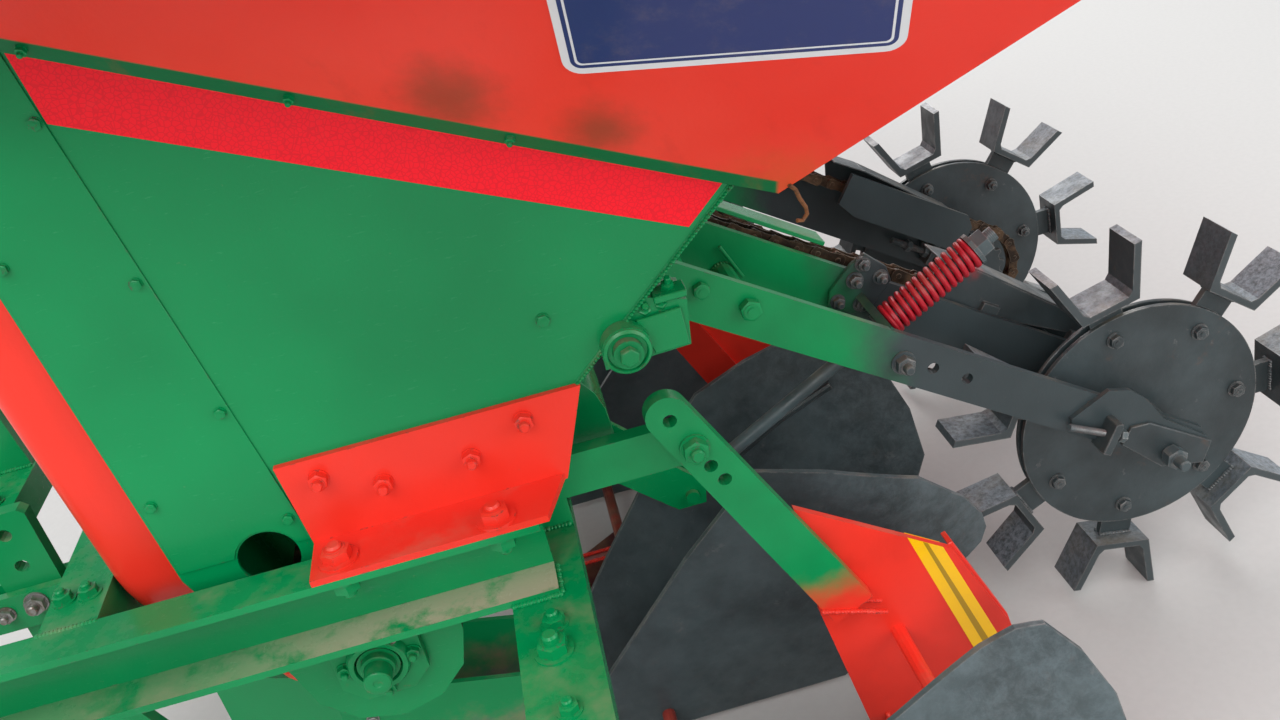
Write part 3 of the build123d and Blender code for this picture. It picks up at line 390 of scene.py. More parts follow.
def enamel_layers(f, coat, dust_share, gloss, dents=0.0):
    """Dust, chips, scuffs and runs over a coat of enamel; ends the material."""
    dust = f.times(f.patches(17.0, 0.46, 0.72, 6.0, 0.65), f.upward(0.05, 0.9), dust_share)
    coat = f.over(coat, DUST, dust)
    coat = f.over(coat, DUST, f.patches(150.0, 0.72, 0.78, 3.0, 0.6), dust_share * 0.5)
    coat = f.over(coat, CHIPPED, f.edges(0.0022), f.patches(95.0, 0.56, 0.62, 5.0, 0.7), 0.8)
    scuffs = f.patches(60.0, 0.60, 0.74, 8.0, 0.8, f.stretched((1.0, 1.0, 5.0)))
    rough = f.maths("ADD", f.times(scuffs, 0.20), gloss)
    rough = f.maths("ADD", rough, f.times(dust, 0.8))
    normal = f.bump(f.noise(26.0, 3.0, 0.5, f.stretched((1.0, 1.0, 0.22))), 0.0014, 0.5)
    if dents:
        normal = f.bump(f.noise(4.5, 2.0, 0.4), dents, 0.5, normal)
    normal = f.bump(f.noise(340.0, 2.0), 0.0003, 0.35, normal)
    f.finish(coat, rough, normal, coat=0.05, coat_roughness=0.12)


def enamel(name, base, thin_share, dust_share, gloss):
    """Brushed-on enamel with a second tone where it lies thin."""
    f = Finish(name)
    enamel_layers(f, f.toned(base, thin_share, 3.0, 3.0), dust_share, gloss)


def hopper_enamel():
    """Red sheet with slight dents, orange at its low edges, overspray near the casings, and a dark green line
    along its low edge that is part green overspill and part painted shade of the gap above the tape.
    """
    f = Finish("hopper_enamel")
    red = colour("red")
    coat = f.over(red, (red[0] * 1.06, red[1] * 1.9, red[2] * 2.2), f.patches(2.6, 0.35, 0.72))
    coat = f.over(coat, ORANGE, f.near((189, -522, 734), 90, 0.5), 0.6)
    stain = f.maths("MAXIMUM", f.near((62, -536, 815), 46), f.near((-33, -537, 862), 60))
    coat = f.over(coat, OVERSPRAY, stain, 0.62)
    above = f.maths("SUBTRACT", f.axis("Z"), f.times(f.axis("X"), WALL_SLOPE))
    start = hopper_floor(0) * MM
    outside = f.span(f.maths("ABSOLUTE", f.axis("Y")), 0.500, 0.506)
    # Dark green line on the outer face just above the low edge: part green overspill, part painted shade of the
    # gap between the hopper and the tape.
    edge = f.times(f.span(above, start + 0.0135, start + 0.0115), outside, f.span(f.axis("X"), 0.186, 0.182))
    coat = f.over(coat, darker(colour("green"), 0.55), edge)
    streaks = f.patches(9.0, 0.58, 0.74, 5.0, 0.6, f.stretched((3.0, 3.0, 0.35)))
    coat = f.over(coat, darker(red, 0.55), streaks, 0.16)
    enamel_layers(f, coat, 0.22, 0.34, 0.010)


def fading_enamel(name, first, second, letter, start, end, spray=None):
    """Enamel that changes from one colour to another along an axis, as sprayed without masking."""
    f = Finish(name)
    fade = f.span(f.ragged(letter, 0.05, 30.0, 5.0, 0.6), start * MM, end * MM)
    coat = f.blend(fade, f.toned(first, 0.7, 6.0), f.toned(second, 0.7, 6.0))
    if spray:
        coat = f.over(coat, RED_SPRAY, f.near(*spray, 0.6), 0.8)
    enamel_layers(f, coat, 0.25, 0.36)


def ridger_enamel():
    """Red enamel on the body's plate and braces, and dark worn steel on its share."""
    f = Finish("ridger_enamel")
    earth = f.over(colour("iron"), (0.10, 0.075, 0.05), f.patches(30.0, 0.4, 0.65, 6.0))
    low = f.span(f.maths("ADD", f.axis("Z"), f.times(f.noise(20.0, 5.0), 0.06)), 0.125, 0.065)
    enamel_layers(f, f.over(f.toned(colour("red"), 0.7, 6.0), earth, low, 0.9), 0.30, 0.38)


def channel_enamel():
    """Green enamel of the frame channels, with pale earth lying along their low flange."""
    f = Finish("channel_enamel")
    low = f.span(f.axis("Z"), 0.4525, 0.447)
    rear = f.span(f.axis("X"), -0.42, -0.16, 0.25, 1.0)
    earth = f.times(low, rear, f.upward(0.0, 0.5), f.patches(16.0, 0.36, 0.52, 6.0, 0.65))
    coat = f.over(f.toned(colour("green"), 0.70, 3.5, 3.0), PALE_EARTH, earth, 0.85)
    thin = f.patches(28.0, 0.60, 0.72, 7.0, 0.75, f.stretched((0.4, 1.0, 1.0)))
    enamel_layers(f, f.over(coat, (0.05, 0.21, 0.12), thin, 0.5), 0.30, 0.26)


def bearing_enamel():
    """Green paint over bearing flanges and shafts, with rust coming through."""
    f = Finish("bearing_enamel")
    green = colour("green")
    coat = f.over(green, darker(green, 0.55), f.noise(9.0))
    coat = f.over(coat, (0.17, 0.085, 0.035), f.patches(42.0, 0.57, 0.68, 7.0, 0.72), 0.8)
    enamel_layers(f, coat, 0.5, 0.42)


def opener_paint():
    """Green enamel worn through to bare and earthy steel low down."""
    f = Finish("opener_paint")
    green = colour("green")
    low = f.span(f.ragged("Z", 0.14, 22.0, 6.0, 0.65), 0.17, 0.09)
    earth = f.over((0.22, 0.165, 0.105), (0.14, 0.125, 0.115), f.patches(40.0, 0.4, 0.62, 6.0))
    enamel_layers(f, f.over(f.over(green, darker(green, 0.7), f.noise(5.0)), earth, low), 0.45, 0.38)


def dark_paint(name, worn_share=0.5, rust_share=0.45, bluish=0.0, tips=False, pale_share=1.0, spray=None):
    """Thin dark paint over rolled steel, worn bright at its edges and rusted in spots."""
    f = Finish(name)
    iron = darker(colour("iron"), pale_share)
    coat = f.over(iron, darker(iron, 2.4), f.patches(7.0, 0.3, 0.75, 5.0, 0.6))
    if bluish:
        # Bluish grey mottle on the mouldboards: the mottle is the sheet's own, and its growth towards the tail is
        # a painted reflection of the sky on the curving tail.
        mottle = f.span(f.noise(48.0, 8.0, 0.8, distortion=0.3), 0.34, 0.74)
        tail_sky_sheen = f.span(f.axis("X"), 0.12, 0.34, 0.30, 1.0)
        coat = f.over(coat, (0.120, 0.155, 0.170), mottle, tail_sky_sheen, bluish)
    coat = f.over(coat, (0.20, 0.195, 0.19), f.patches(38.0, 0.62, 0.70, 8.0, 0.72), worn_share)
    coat = f.over(coat, RUST, f.patches(22.0, 0.60, 0.74, 7.0, 0.7), rust_share)
    rim = f.times(f.edges(0.0028), f.patches(70.0, 0.35, 0.6, 4.0))
    if tips:
        reach = f.span(f.from_axle(), 0.150, 0.185)
        coat = f.over(coat, (0.050, 0.062, 0.066), reach, 0.6)
        # Painted highlight: a pale bluish tone, broken into patches on the up-facing faces of the lug tips, stands
        # in for light reflected off them.
        lug_top_highlight = f.times(reach, f.upward(0.10, 0.80), f.patches(170.0, 0.30, 0.66, 6.0, 0.75))
        coat = f.over(coat, (0.30, 0.35, 0.40), lug_top_highlight, 0.60)
        coat = f.over(coat, (0.125, 0.070, 0.032), reach, f.patches(26.0, 0.64, 0.72, 7.0, 0.75), 0.45)
    coat = f.over(coat, DUST, f.upward(0.1, 0.9), f.patches(15.0, 0.45, 0.7, 6.0, 0.6), 0.30)
    coat = f.over(coat, (0.27, 0.26, 0.25), rim, 0.85)
    if spray:
        coat = f.over(coat, RED_SPRAY, f.near(*spray, 0.6), 0.85)
    rough = f.span(f.noise(45.0, 6.0), 0.3, 0.7, 0.32, 0.56)
    normal = f.bump(f.noise(9.0, 3.0, 0.5), 0.004, 0.3)
    normal = f.bump(f.noise(120.0, 6.0, 0.7), 0.0006, 0.5, normal)
    f.finish(coat, rough, normal, metallic=f.times(rim, 0.7), specular=0.45)


def oily_steel():
    """Chain in old oil and dust."""
    f = Finish("chain_steel")
    coat = f.over((0.030, 0.020, 0.014), (0.125, 0.075, 0.042), f.patches(60.0, 0.35, 0.7, 6.0))
    coat = f.over(coat, (0.26, 0.20, 0.14), f.edges(0.0012), 0.7)
    rough = f.span(f.noise(90.0, 4.0), 0.3, 0.7, 0.35, 0.7)
    f.finish(coat, rough, f.bump(f.noise(400.0, 5.0), 0.0004, 0.6), metallic=0.5)


def rusty_steel(name, clean, rust_low, rust_high):
    """Turned or drawn steel with a film of rust."""
    f = Finish(name)
    rust = f.patches(55.0, rust_low, rust_high, 7.0, 0.7)
    coat = f.over(clean, (0.20, 0.078, 0.028), rust)
    coat = f.over(coat, (0.085, 0.038, 0.018), rust, f.patches(140.0, 0.5, 0.7, 4.0))
    rough = f.span(rust, 0.0, 1.0, 0.32, 0.75)
    f.finish(coat, rough, f.bump(f.noise(300.0, 5.0), 0.0004, 0.5), metallic=f.span(rust, 0.0, 1.0, 0.9, 0.2))


def tape_finish():
    """Red reflective tape with its fine honeycomb."""
    f = Finish("reflective_tape")
    tape = colour("tape")
    cells = f.node("ShaderNodeTexVoronoi", {"Vector": f.stretched((1.0, 0.0, 1.0)), "Scale": 260.0},
                   feature="DISTANCE_TO_EDGE")
    comb = f.span(cells.outputs["Distance"], 0.03, 0.12)
    coat = f.over(darker(tape, 0.86), tape, comb)
    coat = f.over(coat, DUST, f.patches(24.0, 0.58, 0.78, 6.0, 0.7), 0.08)
    f.finish(coat, 0.36, f.bump(comb, 0.0001, 0.25), coat=0.03, coat_roughness=0.15)


def printed(name, base):
    """Printed film with dust and hairline scratches."""
    f = Finish(name)
    coat = f.over(base, DUST, f.patches(30.0, 0.50, 0.75, 6.0, 0.7), 0.16)
    hairs = f.patches(20.0, 0.70, 0.76, 3.0, 0.6, f.stretched((1.0, 1.0, 40.0), (0.3, 0.5, 0.2)))
    rough = f.maths("ADD", f.times(hairs, 0.25), 0.30)
    f.finish(coat, rough, f.bump(f.noise(60.0, 3.0), 0.0004, 0.2), coat=0.3)


def plated():
    """Zinc-plated screws, dulled and dusty."""
    f = Finish("plated_screw")
    coat = f.over((0.30, 0.30, 0.29), (0.17, 0.145, 0.11), f.patches(80.0, 0.4, 0.65, 5.0, 0.7))
    rough = f.span(f.noise(120.0, 4.0), 0.3, 0.7, 0.30, 0.55)
    f.finish(coat, rough, f.bump(f.noise(500.0, 3.0), 0.0002, 0.5), metallic=0.75)


def make_materials():
    """Every finish of the planter."""
    red, green, stripe = colour("red"), colour("green"), colour("stripe")
    enamel("red_enamel", red, 0.80, 0.25, 0.32)
    enamel("green_enamel", green, 0.74, 0.30, 0.26)
    enamel("spring_enamel", colour("spring"), 0.55, 0.30, 0.34)
    hopper_enamel()
    fading_enamel("fork_enamel", green, darker(colour("iron"), 2.0), "X", 255, 345, ((466, -214, 446), 30))
    fading_enamel("standard_enamel", green, red, "Z", 325, 262)
    fading_enamel("centre_standard_enamel", green, darker(red, 0.8), "Z", 440, 405)
    ridger_enamel()
    channel_enamel()
    bearing_enamel()
    dark_paint("dark_iron")
    dark_paint("tightener_paint", 0.75, 0.20, pale_share=2.0)
    dark_paint("guard_paint", 0.35, 0.15, spray=((462, -192, 448), 34))
    dark_paint("wheel_iron", 0.35, 0.30, tips=True)
    dark_paint("mouldboard_paint", 0.25, 0.12, bluish=0.60, pale_share=1.35)
    oily_steel()
    rusty_steel("shaft_steel", (0.32, 0.29, 0.26), 0.38, 0.66)
    rusty_steel("rusty_wire", (0.20, 0.14, 0.10), 0.25, 0.50)
    opener_paint()
    tape_finish()
    plated()
    printed("sign_field", colour("sign"))
    printed("sign_border", (0.72, 0.74, 0.76))
    printed("stripe_yellow", stripe)
    printed("stripe_line", darker(stripe, 0.42))


def dress_nodes():
    """Give every frame node its finish."""
    slots = {row["node"]: row["material_slot"] for row in frame["record"]["subparts"]}
    for name, node in frame["nodes"].items():
        plain = name
        for side in ("_left", "_right", "_centre"):
            plain = plain.removesuffix(side)
        node.data.materials.clear()
        node.data.materials.append(MATERIALS[NODE_FINISH.get(name, NODE_FINISH.get(plain, slots[name]))])


def arm_place(along, above, y):
    """Point at a distance along the fork arm's middle line and above it."""
    return Vector((
        PIVOT_X + along * cos(ARM_TURN) - above * sin(ARM_TURN), y,
        PIVOT_Z + along * sin(ARM_TURN) + above * cos(ARM_TURN),
    ))


def arc(x, y, radius, start, sweep, steps):
    """Points along an arc about a middle in a plane, its angles in radians."""
    turns = [start + sweep * step / steps for step in range(steps + 1)]
    return [(x + radius * cos(turn), y + radius * sin(turn)) for turn in turns]


def rounded(width, height, radii, steps=6):
    """Corners of a rounded rectangle about the origin, from its far right corner on."""
    points = []
    for quarter, (right, up) in enumerate(((1, 1), (-1, 1), (-1, -1), (1, -1))):
        radius = radii[quarter]
        middle = (right * (width / 2 - radius), up * (height / 2 - radius))
        points += arc(*middle, radius, quarter * pi / 2, pi / 2, steps)
    return points


def lug_aims():
    """Directions of a land wheel's lugs from its axle."""
    turns = [LUG_PHASE + 2 * pi * index / LUG_COUNT for index in range(LUG_COUNT)]
    return [Vector((cos(turn), 0, sin(turn))) for turn in turns]


class Shape:
    """A mesh under construction, given in millimetres in the frame's axes."""

    def __init__(self):
        self.bm = bmesh.new()

    def corners(self, points):
        """New vertices at points."""
        return [self.bm.verts.new(Vector(point) * MM) for point in points]

    def sides(self, low, high):
        """Walls between two rings of as many vertices."""
        for first in range(len(low)):
            second = (first + 1) % len(low)
            self.bm.faces.new((low[first], low[second], high[second], high[first]))

    def closed(self, rings):
        """Walls along rings of points, closed at both ends."""
        rings = [self.corners(ring) for ring in rings]
        self.bm.faces.new(rings[0][::-1])
        self.bm.faces.new(rings[-1])
        for low, high in zip(rings, rings[1:]):
            self.sides(low, high)

    def prism(self, points, along):
        """Closed prism from an outline to the same outline moved by a vector."""
        self.closed([points, [Vector(point) + Vector(along) for point in points]])

    def side_plate(self, outline, y, thickness):
        """Plate of a side view, from y towards -Y."""
        self.prism([(x, y, z) for x, z in outline], (0, -thickness, 0))

    def block(self, middle, half):
        """Rectangular block with half sizes."""
        x, y, z = half
        ways = ((-1, -1), (1, -1), (1, 1), (-1, 1))
        outline = [Vector(middle) + Vector((a * x, y, b * z)) for a, b in ways]
        self.prism(outline, (0, -2 * y, 0))

    def lathe(self, centre, axis, profile, segments=24, turn=0.0):
        """Turned shape of pairs of distance along the axis and radius."""
        upright = Vector(axis).to_track_quat("Z", "Y").to_matrix()
        self.closed([
            [Vector(centre) + upright @ Vector((*point, along))
             for point in arc(0, 0, radius, turn, 2 * pi, segments)[:-1]]
            for along, radius in profile])

    def bar(self, path, radius, segments=12):
        """Round bar along a path of points."""
        points = [Vector(point) for point in path]
        rings = []
        across = (points[1] - points[0]).orthogonal().normalized()
        for index, point in enumerate(points):
            ahead = points[min(index + 1, len(points) - 1)] - points[max(index - 1, 0)]
            ahead.normalize()
            across = (across - ahead * across.dot(ahead)).normalized()
            other = ahead.cross(across)
            circle = arc(0, 0, radius, 0, 2 * pi, segments)[:-1]
            rings.append([point + across * u + other * v for u, v in circle])
        self.closed(rings)

    def threaded(self, start, aim, radius, length, pitch=2.0, depth=0.8):
        """Screw thread as fine ridges from a place along a direction."""
        profile = [(0.0, radius - depth)]
        for index in range(int(length / pitch)):
            profile += [((index + 0.5) * pitch, radius), ((index + 1) * pitch, radius - depth)]
        self.lathe(start, aim, profile, 14)

    def mesh(self, name):
        """End the shape as a mesh."""
        mesh = bpy.data.meshes.new(name)
        self.bm.to_mesh(mesh)
        self.bm.free()
        return mesh

    def outward(self):
        """Turn every face outwards."""
        bmesh.ops.recalc_face_normals(self.bm, faces=self.bm.faces[:])

    def piece(self, name, finish, slot=None, body="planter", mirrored=True, bevel=0.5, steps=1):
        """End the shape as an object with rounded edges, riding on a body."""
        bm = self.bm
        if mirrored:
            copies = bmesh.ops.duplicate(bm, geom=bm.verts[:] + bm.edges[:] + bm.faces[:])
            for item in copies["geom"]:
                if isinstance(item, bmesh.types.BMVert):
                    item.co.y = -item.co.y
        self.outward()
        if bevel:
            sharp = [edge for edge in bm.edges if edge.calc_face_angle(0) > radians(35)]
            bmesh.ops.bevel(bm, geom=sharp, offset=bevel * MM, segments=steps, profile=0.6,
                            affect="EDGES", clamp_overlap=True)
        return seat(name, self.mesh(name), finish, body)


def seat(name, mesh, finish, body="planter"):
    """Make a mesh a piece that rides on a body."""
    mesh.polygons.foreach_set("use_smooth", [True] * len(mesh.polygons))
    mesh.set_sharp_from_angle(angle=radians(32))
    piece = add_object(name, mesh)
    mesh.materials.clear()
    mesh.materials.append(MATERIALS[finish])
    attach(piece, body)
    return piece


class Tree(Nodes):
    """A Geometry Nodes tree under construction, with named inputs."""

    def __init__(self, name, **inputs):
        self.tree = bpy.data.node_groups.new(name, "GeometryNodeTree")
        face = self.tree.interface
        face.new_socket("Geometry", in_out="INPUT", socket_type="NodeSocketGeometry")
        for label, kind in inputs.items():
            face.new_socket(label, in_out="INPUT", socket_type="NodeSocket" + kind)
        face.new_socket("Geometry", in_out="OUTPUT", socket_type="NodeSocketGeometry")
        self.given = self.tree.nodes.new("NodeGroupInput").outputs

    def random(self, low, high):
        """Random number for each point or instance, from the tree's fixed seed."""
        return self.node("FunctionNodeRandomValue", {2: low, 3: high, 8: self.given["Seed"]},
                         data_type="FLOAT").outputs[1]

    def attribute(self, name, kind):
        """Named value carried by the points."""
        return self.out("GeometryNodeInputNamedAttribute", {"Name": name}, data_type=kind)

    def aligned(self, vector, axis, pivot="AUTO"):
        """Rotation that turns an axis along a vector."""
        return self.out("FunctionNodeAlignRotationToVector", {"Vector": vector}, axis=axis, pivot_axis=pivot)

    def raised(self, mesh, height):
        """Mesh moved up by a height."""
        offset = self.out("ShaderNodeCombineXYZ", {"Z": height})
        return self.out("GeometryNodeTransform", {"Geometry": mesh, "Translation": offset})

    def cylinder(self, vertices, radius, depth, middle):
        """Cylinder with its middle at a height."""
        return self.raised(self.out("GeometryNodeMeshCylinder", {
            "Vertices": vertices, "Radius": radius, "Depth": depth}), middle)

    def cone(self, vertices, low, high, depth, foot):
        """Cone cut off at a second radius, with its foot at a height."""
        return self.raised(self.out("GeometryNodeMeshCone", {
            "Vertices": vertices, "Radius Bottom": low, "Radius Top": high, "Depth": depth}), foot)

    def instances(self, points, instance, rotation, **feeds):
        """Instances on points."""
        return self.out("GeometryNodeInstanceOnPoints", {
            "Points": points, "Instance": instance, "Rotation": rotation, **feeds})

    def joined(self, *parts):
        """Several geometries as one."""
        made = self.node("GeometryNodeJoinGeometry")
        for part in parts:
            self.tree.links.new(part, made.inputs[0])
        return made.outputs[0]

    def end(self, geometry):
        """Realize the instances, set the material and end the tree."""
        geometry = self.out("GeometryNodeRealizeInstances", {"Geometry": geometry})
        geometry = self.out("GeometryNodeSetMaterial", {
            "Geometry": geometry, "Material": self.given["Material"]})
        self.tree.links.new(geometry, self.tree.nodes.new("NodeGroupOutput").inputs[0])
        return self.tree


def screw_tree():
    """Hexagon heads or nuts on washers at points, each with its own size, aim and turn."""
    t = Tree("placed screws", Washer="Float", Head="Float", Thread="Float", Stud="Float", Seed="Int",
             Material="Material")
    head, thread, stud = t.given["Head"], t.given["Thread"], t.given["Stud"]
    washer_depth, head_radius = 0.16, 0.87
    top = t.maths("ADD", head, 0.2)
    parts = (
        t.cylinder(20, t.given["Washer"], washer_depth, washer_depth / 2),
        t.cylinder(6, head_radius, head, t.maths("ADD", t.maths("MULTIPLY", head, 0.5), washer_depth)),
        t.cone(6, head_radius, 0.66, 0.09, t.maths("ADD", head, washer_depth)),
        t.cylinder(16, 0.62, 0.05, t.maths("ADD", head, 0.255)),
        t.cylinder(12, thread, stud, t.maths("ADD", top, t.maths("MULTIPLY", stud, 0.5))),
        t.cone(12, thread, 0.36, 0.14, t.maths("ADD", top, stud)),
    )
    upright = t.aligned(t.attribute("aim", "FLOAT_VECTOR"), "Z")
    spin = t.out("FunctionNodeAxisAngleToRotation", {"Axis": UP, "Angle": t.random(0.0, 6.2)})
    turned = t.out("FunctionNodeRotateRotation", {"Rotation": upright, "Rotate By": spin},
                   rotation_space="LOCAL")
    points = t.out("GeometryNodeMeshToPoints", {"Mesh": t.given["Geometry"]})
    return t.end(t.instances(points, t.joined(*parts), turned, Scale=t.attribute("size", "FLOAT")))


def weld_tree():
    """Rippled weld bead along every edge of a path."""
    t = Tree("weld bead", Pitch="Float", Width="Float", Seed="Int", Material="Material")
    path = t.out("GeometryNodeMeshToCurve", {"Mesh": t.given["Geometry"]})
    points = t.node("GeometryNodeCurveToPoints", {"Curve": path, "Length": t.given["Pitch"]}, mode="LENGTH")
    ripple = t.out("GeometryNodeMeshUVSphere", {"Segments": 9, "Rings": 6, "Radius": 1.0})
    ripple = t.out("GeometryNodeTransform", {
        "Geometry": ripple, "Rotation": (0, pi / 2, 0), "Scale": (0.75, 1.0, 0.8)})
    turned = t.aligned(points.outputs["Tangent"], "X")
    wide = t.maths("MULTIPLY", t.given["Width"], t.random(0.82, 1.12))
    return t.end(t.instances(points.outputs["Points"], ripple, turned, Scale=wide))


def chain_tree():
    """Inner and outer links by turns round a closed loop that lies in the XZ plane."""
    t = Tree("chain links", Inner="Object", Outer="Object", Links="Int", Material="Material")
    path = t.out("GeometryNodeMeshToCurve", {"Mesh": t.given["Geometry"]})
    points = t.node("GeometryNodeCurveToPoints", {"Curve": path, "Count": t.given["Links"]}, mode="COUNT")
    turned = t.aligned(points.outputs["Tangent"], "X", "Y")
    odd = t.maths("MODULO", t.out("GeometryNodeInputIndex"), 2.0)
    sets = []
    for label, chosen in (("Inner", odd), ("Outer", t.maths("SUBTRACT", 1.0, odd))):
        link = t.node("GeometryNodeObjectInfo", {"Object": t.given[label]}).outputs["Geometry"]
        sets.append(t.instances(points.outputs["Points"], link, turned, Selection=chosen))
    return t.end(t.joined(*sets))


def coil_tree():
    """Wound spring along +Z from the origin, closed by a ring at each end."""
    t = Tree("wound spring", Turns="Float", Height="Float", Radius="Float", Wire="Float", Material="Material")
    height, radius = t.given["Height"], t.given["Radius"]
    coil = t.out("GeometryNodeCurveSpiral", {
        "Resolution": 26, "Rotations": t.given["Turns"], "Start Radius": radius, "End Radius": radius,
        "Height": height})
    wire = t.out("GeometryNodeCurvePrimitiveCircle", {
        "Resolution": 10, "Radius": t.maths("MULTIPLY", t.given["Wire"], 0.5)})
    parts = [t.out("GeometryNodeCurveToMesh", {"Curve": coil, "Profile Curve": wire, "Fill Caps": True})]
    for place in (0.0, height):
        ring = t.out("GeometryNodeCurvePrimitiveCircle", {"Resolution": 40, "Radius": radius})
        ring = t.out("GeometryNodeCurveToMesh", {"Curve": ring, "Profile Curve": wire})
        parts.append(t.raised(ring, place))
    return t.end(t.joined(*parts))


def grow(name, points, edges, maker, finish, attributes=(), **values):
    """Run a tree on points and edges and return the result as a plain mesh."""
    mesh = bpy.data.meshes.new(name)
    mesh.from_pydata([Vector(point) * MM for point in points], edges, [])
    for label, kind, field, rows in attributes:
        data = mesh.attributes.new(label, kind, "POINT").data
        for index, value in enumerate(rows):
            setattr(data[index], field, value)
    if maker not in TREES:
        TREES[maker] = maker()
    tree = TREES[maker]
    values.update(Material=MATERIALS[finish], Seed=size("seed"))
    holder = add_object("holder", mesh)
    modifier = holder.modifiers.new("grow", "NODES")
    modifier.node_group = tree
    for socket in tree.interface.items_tree:
        if socket.in_out == "INPUT" and socket.name in values:
            modifier[socket.identifier] = values[socket.name]
    grown = bpy.data.meshes.new_from_object(holder.evaluated_get(bpy.context.evaluated_depsgraph_get()))
    holder.modifiers.remove(modifier)
    bpy.data.objects.remove(holder)
    if not grown.polygons:
        raise RuntimeError(tree.name + " made no faces")
    return grown


def facing(aim, y, thread, *spots):
    """Rows of screws of one size on a face seen from the side, at (x, z) spots."""
    return [((x, y, z), aim, thread) for x, z in spots]


def place_screws(name, rows, finish, body="planter", mirrored=True,
                 washer=1.0, head=0.62, stud=0.0):
    """Screws at rows of (place, aim, thread size), all of one kind and finish."""
    if mirrored:
        rows = rows + [((x, -y, z), (a, -b, c), thread) for (x, y, z), (a, b, c), thread in rows]
    attributes = (
        ("aim", "FLOAT_VECTOR", "vector", [Vector(aim).normalized() for place, aim, thread in rows]),
        ("size", "FLOAT", "value", [thread * MM for place, aim, thread in rows]),
    )
    grown = grow(name, [row[0] for row in rows], [], screw_tree, finish, attributes, Washer=float(washer),
                 Head=float(head), Thread=0.46 if stud else 0.30, Stud=float(stud or 0.02))
    seat(name, grown, finish, body)


def place_welds(name, paths, finish, body="planter", mirrored=True, width=1.0):
    """Weld beads along paths of points."""
    if mirrored:
        paths = paths + [[(x, -y, z) for x, y, z in path] for path in paths]
    points, edges = [], []
    for path in paths:
        start = len(points)
        points += path
        edges += [(start + index, start + index + 1) for index in range(len(path) - 1)]
    grown = grow(name, points, edges, weld_tree, finish, Pitch=size("weld_pitch"),
                 Width=size("weld_width") * width)
    seat(name, grown, finish, body)


def hopper_floor(x):
    """Height of the hopper's low edge over the casings."""
    return WALL_LOW_REAR.z + WALL_SLOPE * (x - WALL_LOW_REAR.x)


def wall_place(x, z):
    """Point on the outside of the hopper's left end wall, from its side view."""
    run = WALL_NORMAL.x * (x - WALL_LOW_REAR.x) + WALL_NORMAL.z * (z - WALL_LOW_REAR.z)
    return (x, WALL_LOW_REAR.y - run / WALL_NORMAL.y, z)


def make_hopper_trim():
    """Rolled rim and ribs of the hopper, and the bent wire at its low corner."""
    low, high = HOPPER_LOW, HOPPER_HIGH
    middle = (low + high) / 2
    roll, corner = 6.0, 14.0
    lip = Shape()
    ring = rounded(high.x - low.x - 2 * roll, high.y - low.y - 2 * roll, [corner] * 4, 4)
    ring = [(middle.x + x, middle.y + y, high.z - 2) for x, y in ring]
    lip.bar(ring + ring[:1], roll)
    lip.piece("hopper_rim", "hopper_enamel", mirrored=False, bevel=0)
    ribs = Shape()
    for x in (middle.x - 240, middle.x, middle.x + 240):
        for side, face in ((1, high.y), (-1, low.y)):
            outline = [(x + across, face - side * sunk, WALL_RIM_REAR.z + rise)
                       for across, sunk, rise in ((-14, 7, 8), (14, 7, 8), (10, 0.2, 14), (-10, 0.2, 14))]
            ribs.prism(outline, (0, 0, high.z - WALL_RIM_REAR.z - 26))
    ribs.piece("hopper_ribs", "hopper_enamel", mirrored=False, bevel=1.2, steps=2)
    hook = Shape()
    hook.bar([(192, -524, 733), (197, -521, 727), (201, -514, 716), (207, -505, 704), (208, -502, 697),
              (204, -501, 692), (199, -503, 694)], 1.7, 8)
    hook.piece("wire_hook", "rusty_wire", mirrored=False, bevel=0)


def make_sign():
    """Blank sign with a white border and a fine line, on the hopper's left end wall."""
    low_left, low_right = Vector((45, -566, 866)), Vector((258, -618, 840))
    across = low_right - low_left
    width, height = across.length, size("sign_height") / MM
    across = (across - WALL_NORMAL * across.dot(WALL_NORMAL)).normalized()
    upward = WALL_NORMAL.cross(across)
    middle = (low_left + low_right) / 2 + upward * (height / 2)
    middle -= WALL_NORMAL * WALL_NORMAL.dot(middle - WALL_LOW_REAR)
    layers = (("sign_border", 0.0, 0.9, "sign_border"), ("sign_field", 5.5, 1.1, "sign_field"),
              ("sign_line", 8.5, 1.25, "sign_border"), ("sign_middle", 10.2, 1.4, "sign_field"))
    for name, inset, rise, finish in layers:
        plate = Shape()
        outline = rounded(width - 2 * inset, height - 2 * inset, [max(13 - inset, 4)] * 4)
        plate.prism([middle + across * u + upward * v for u, v in outline], WALL_NORMAL * rise)
        plate.piece(name, finish, mirrored=False, bevel=0.15)


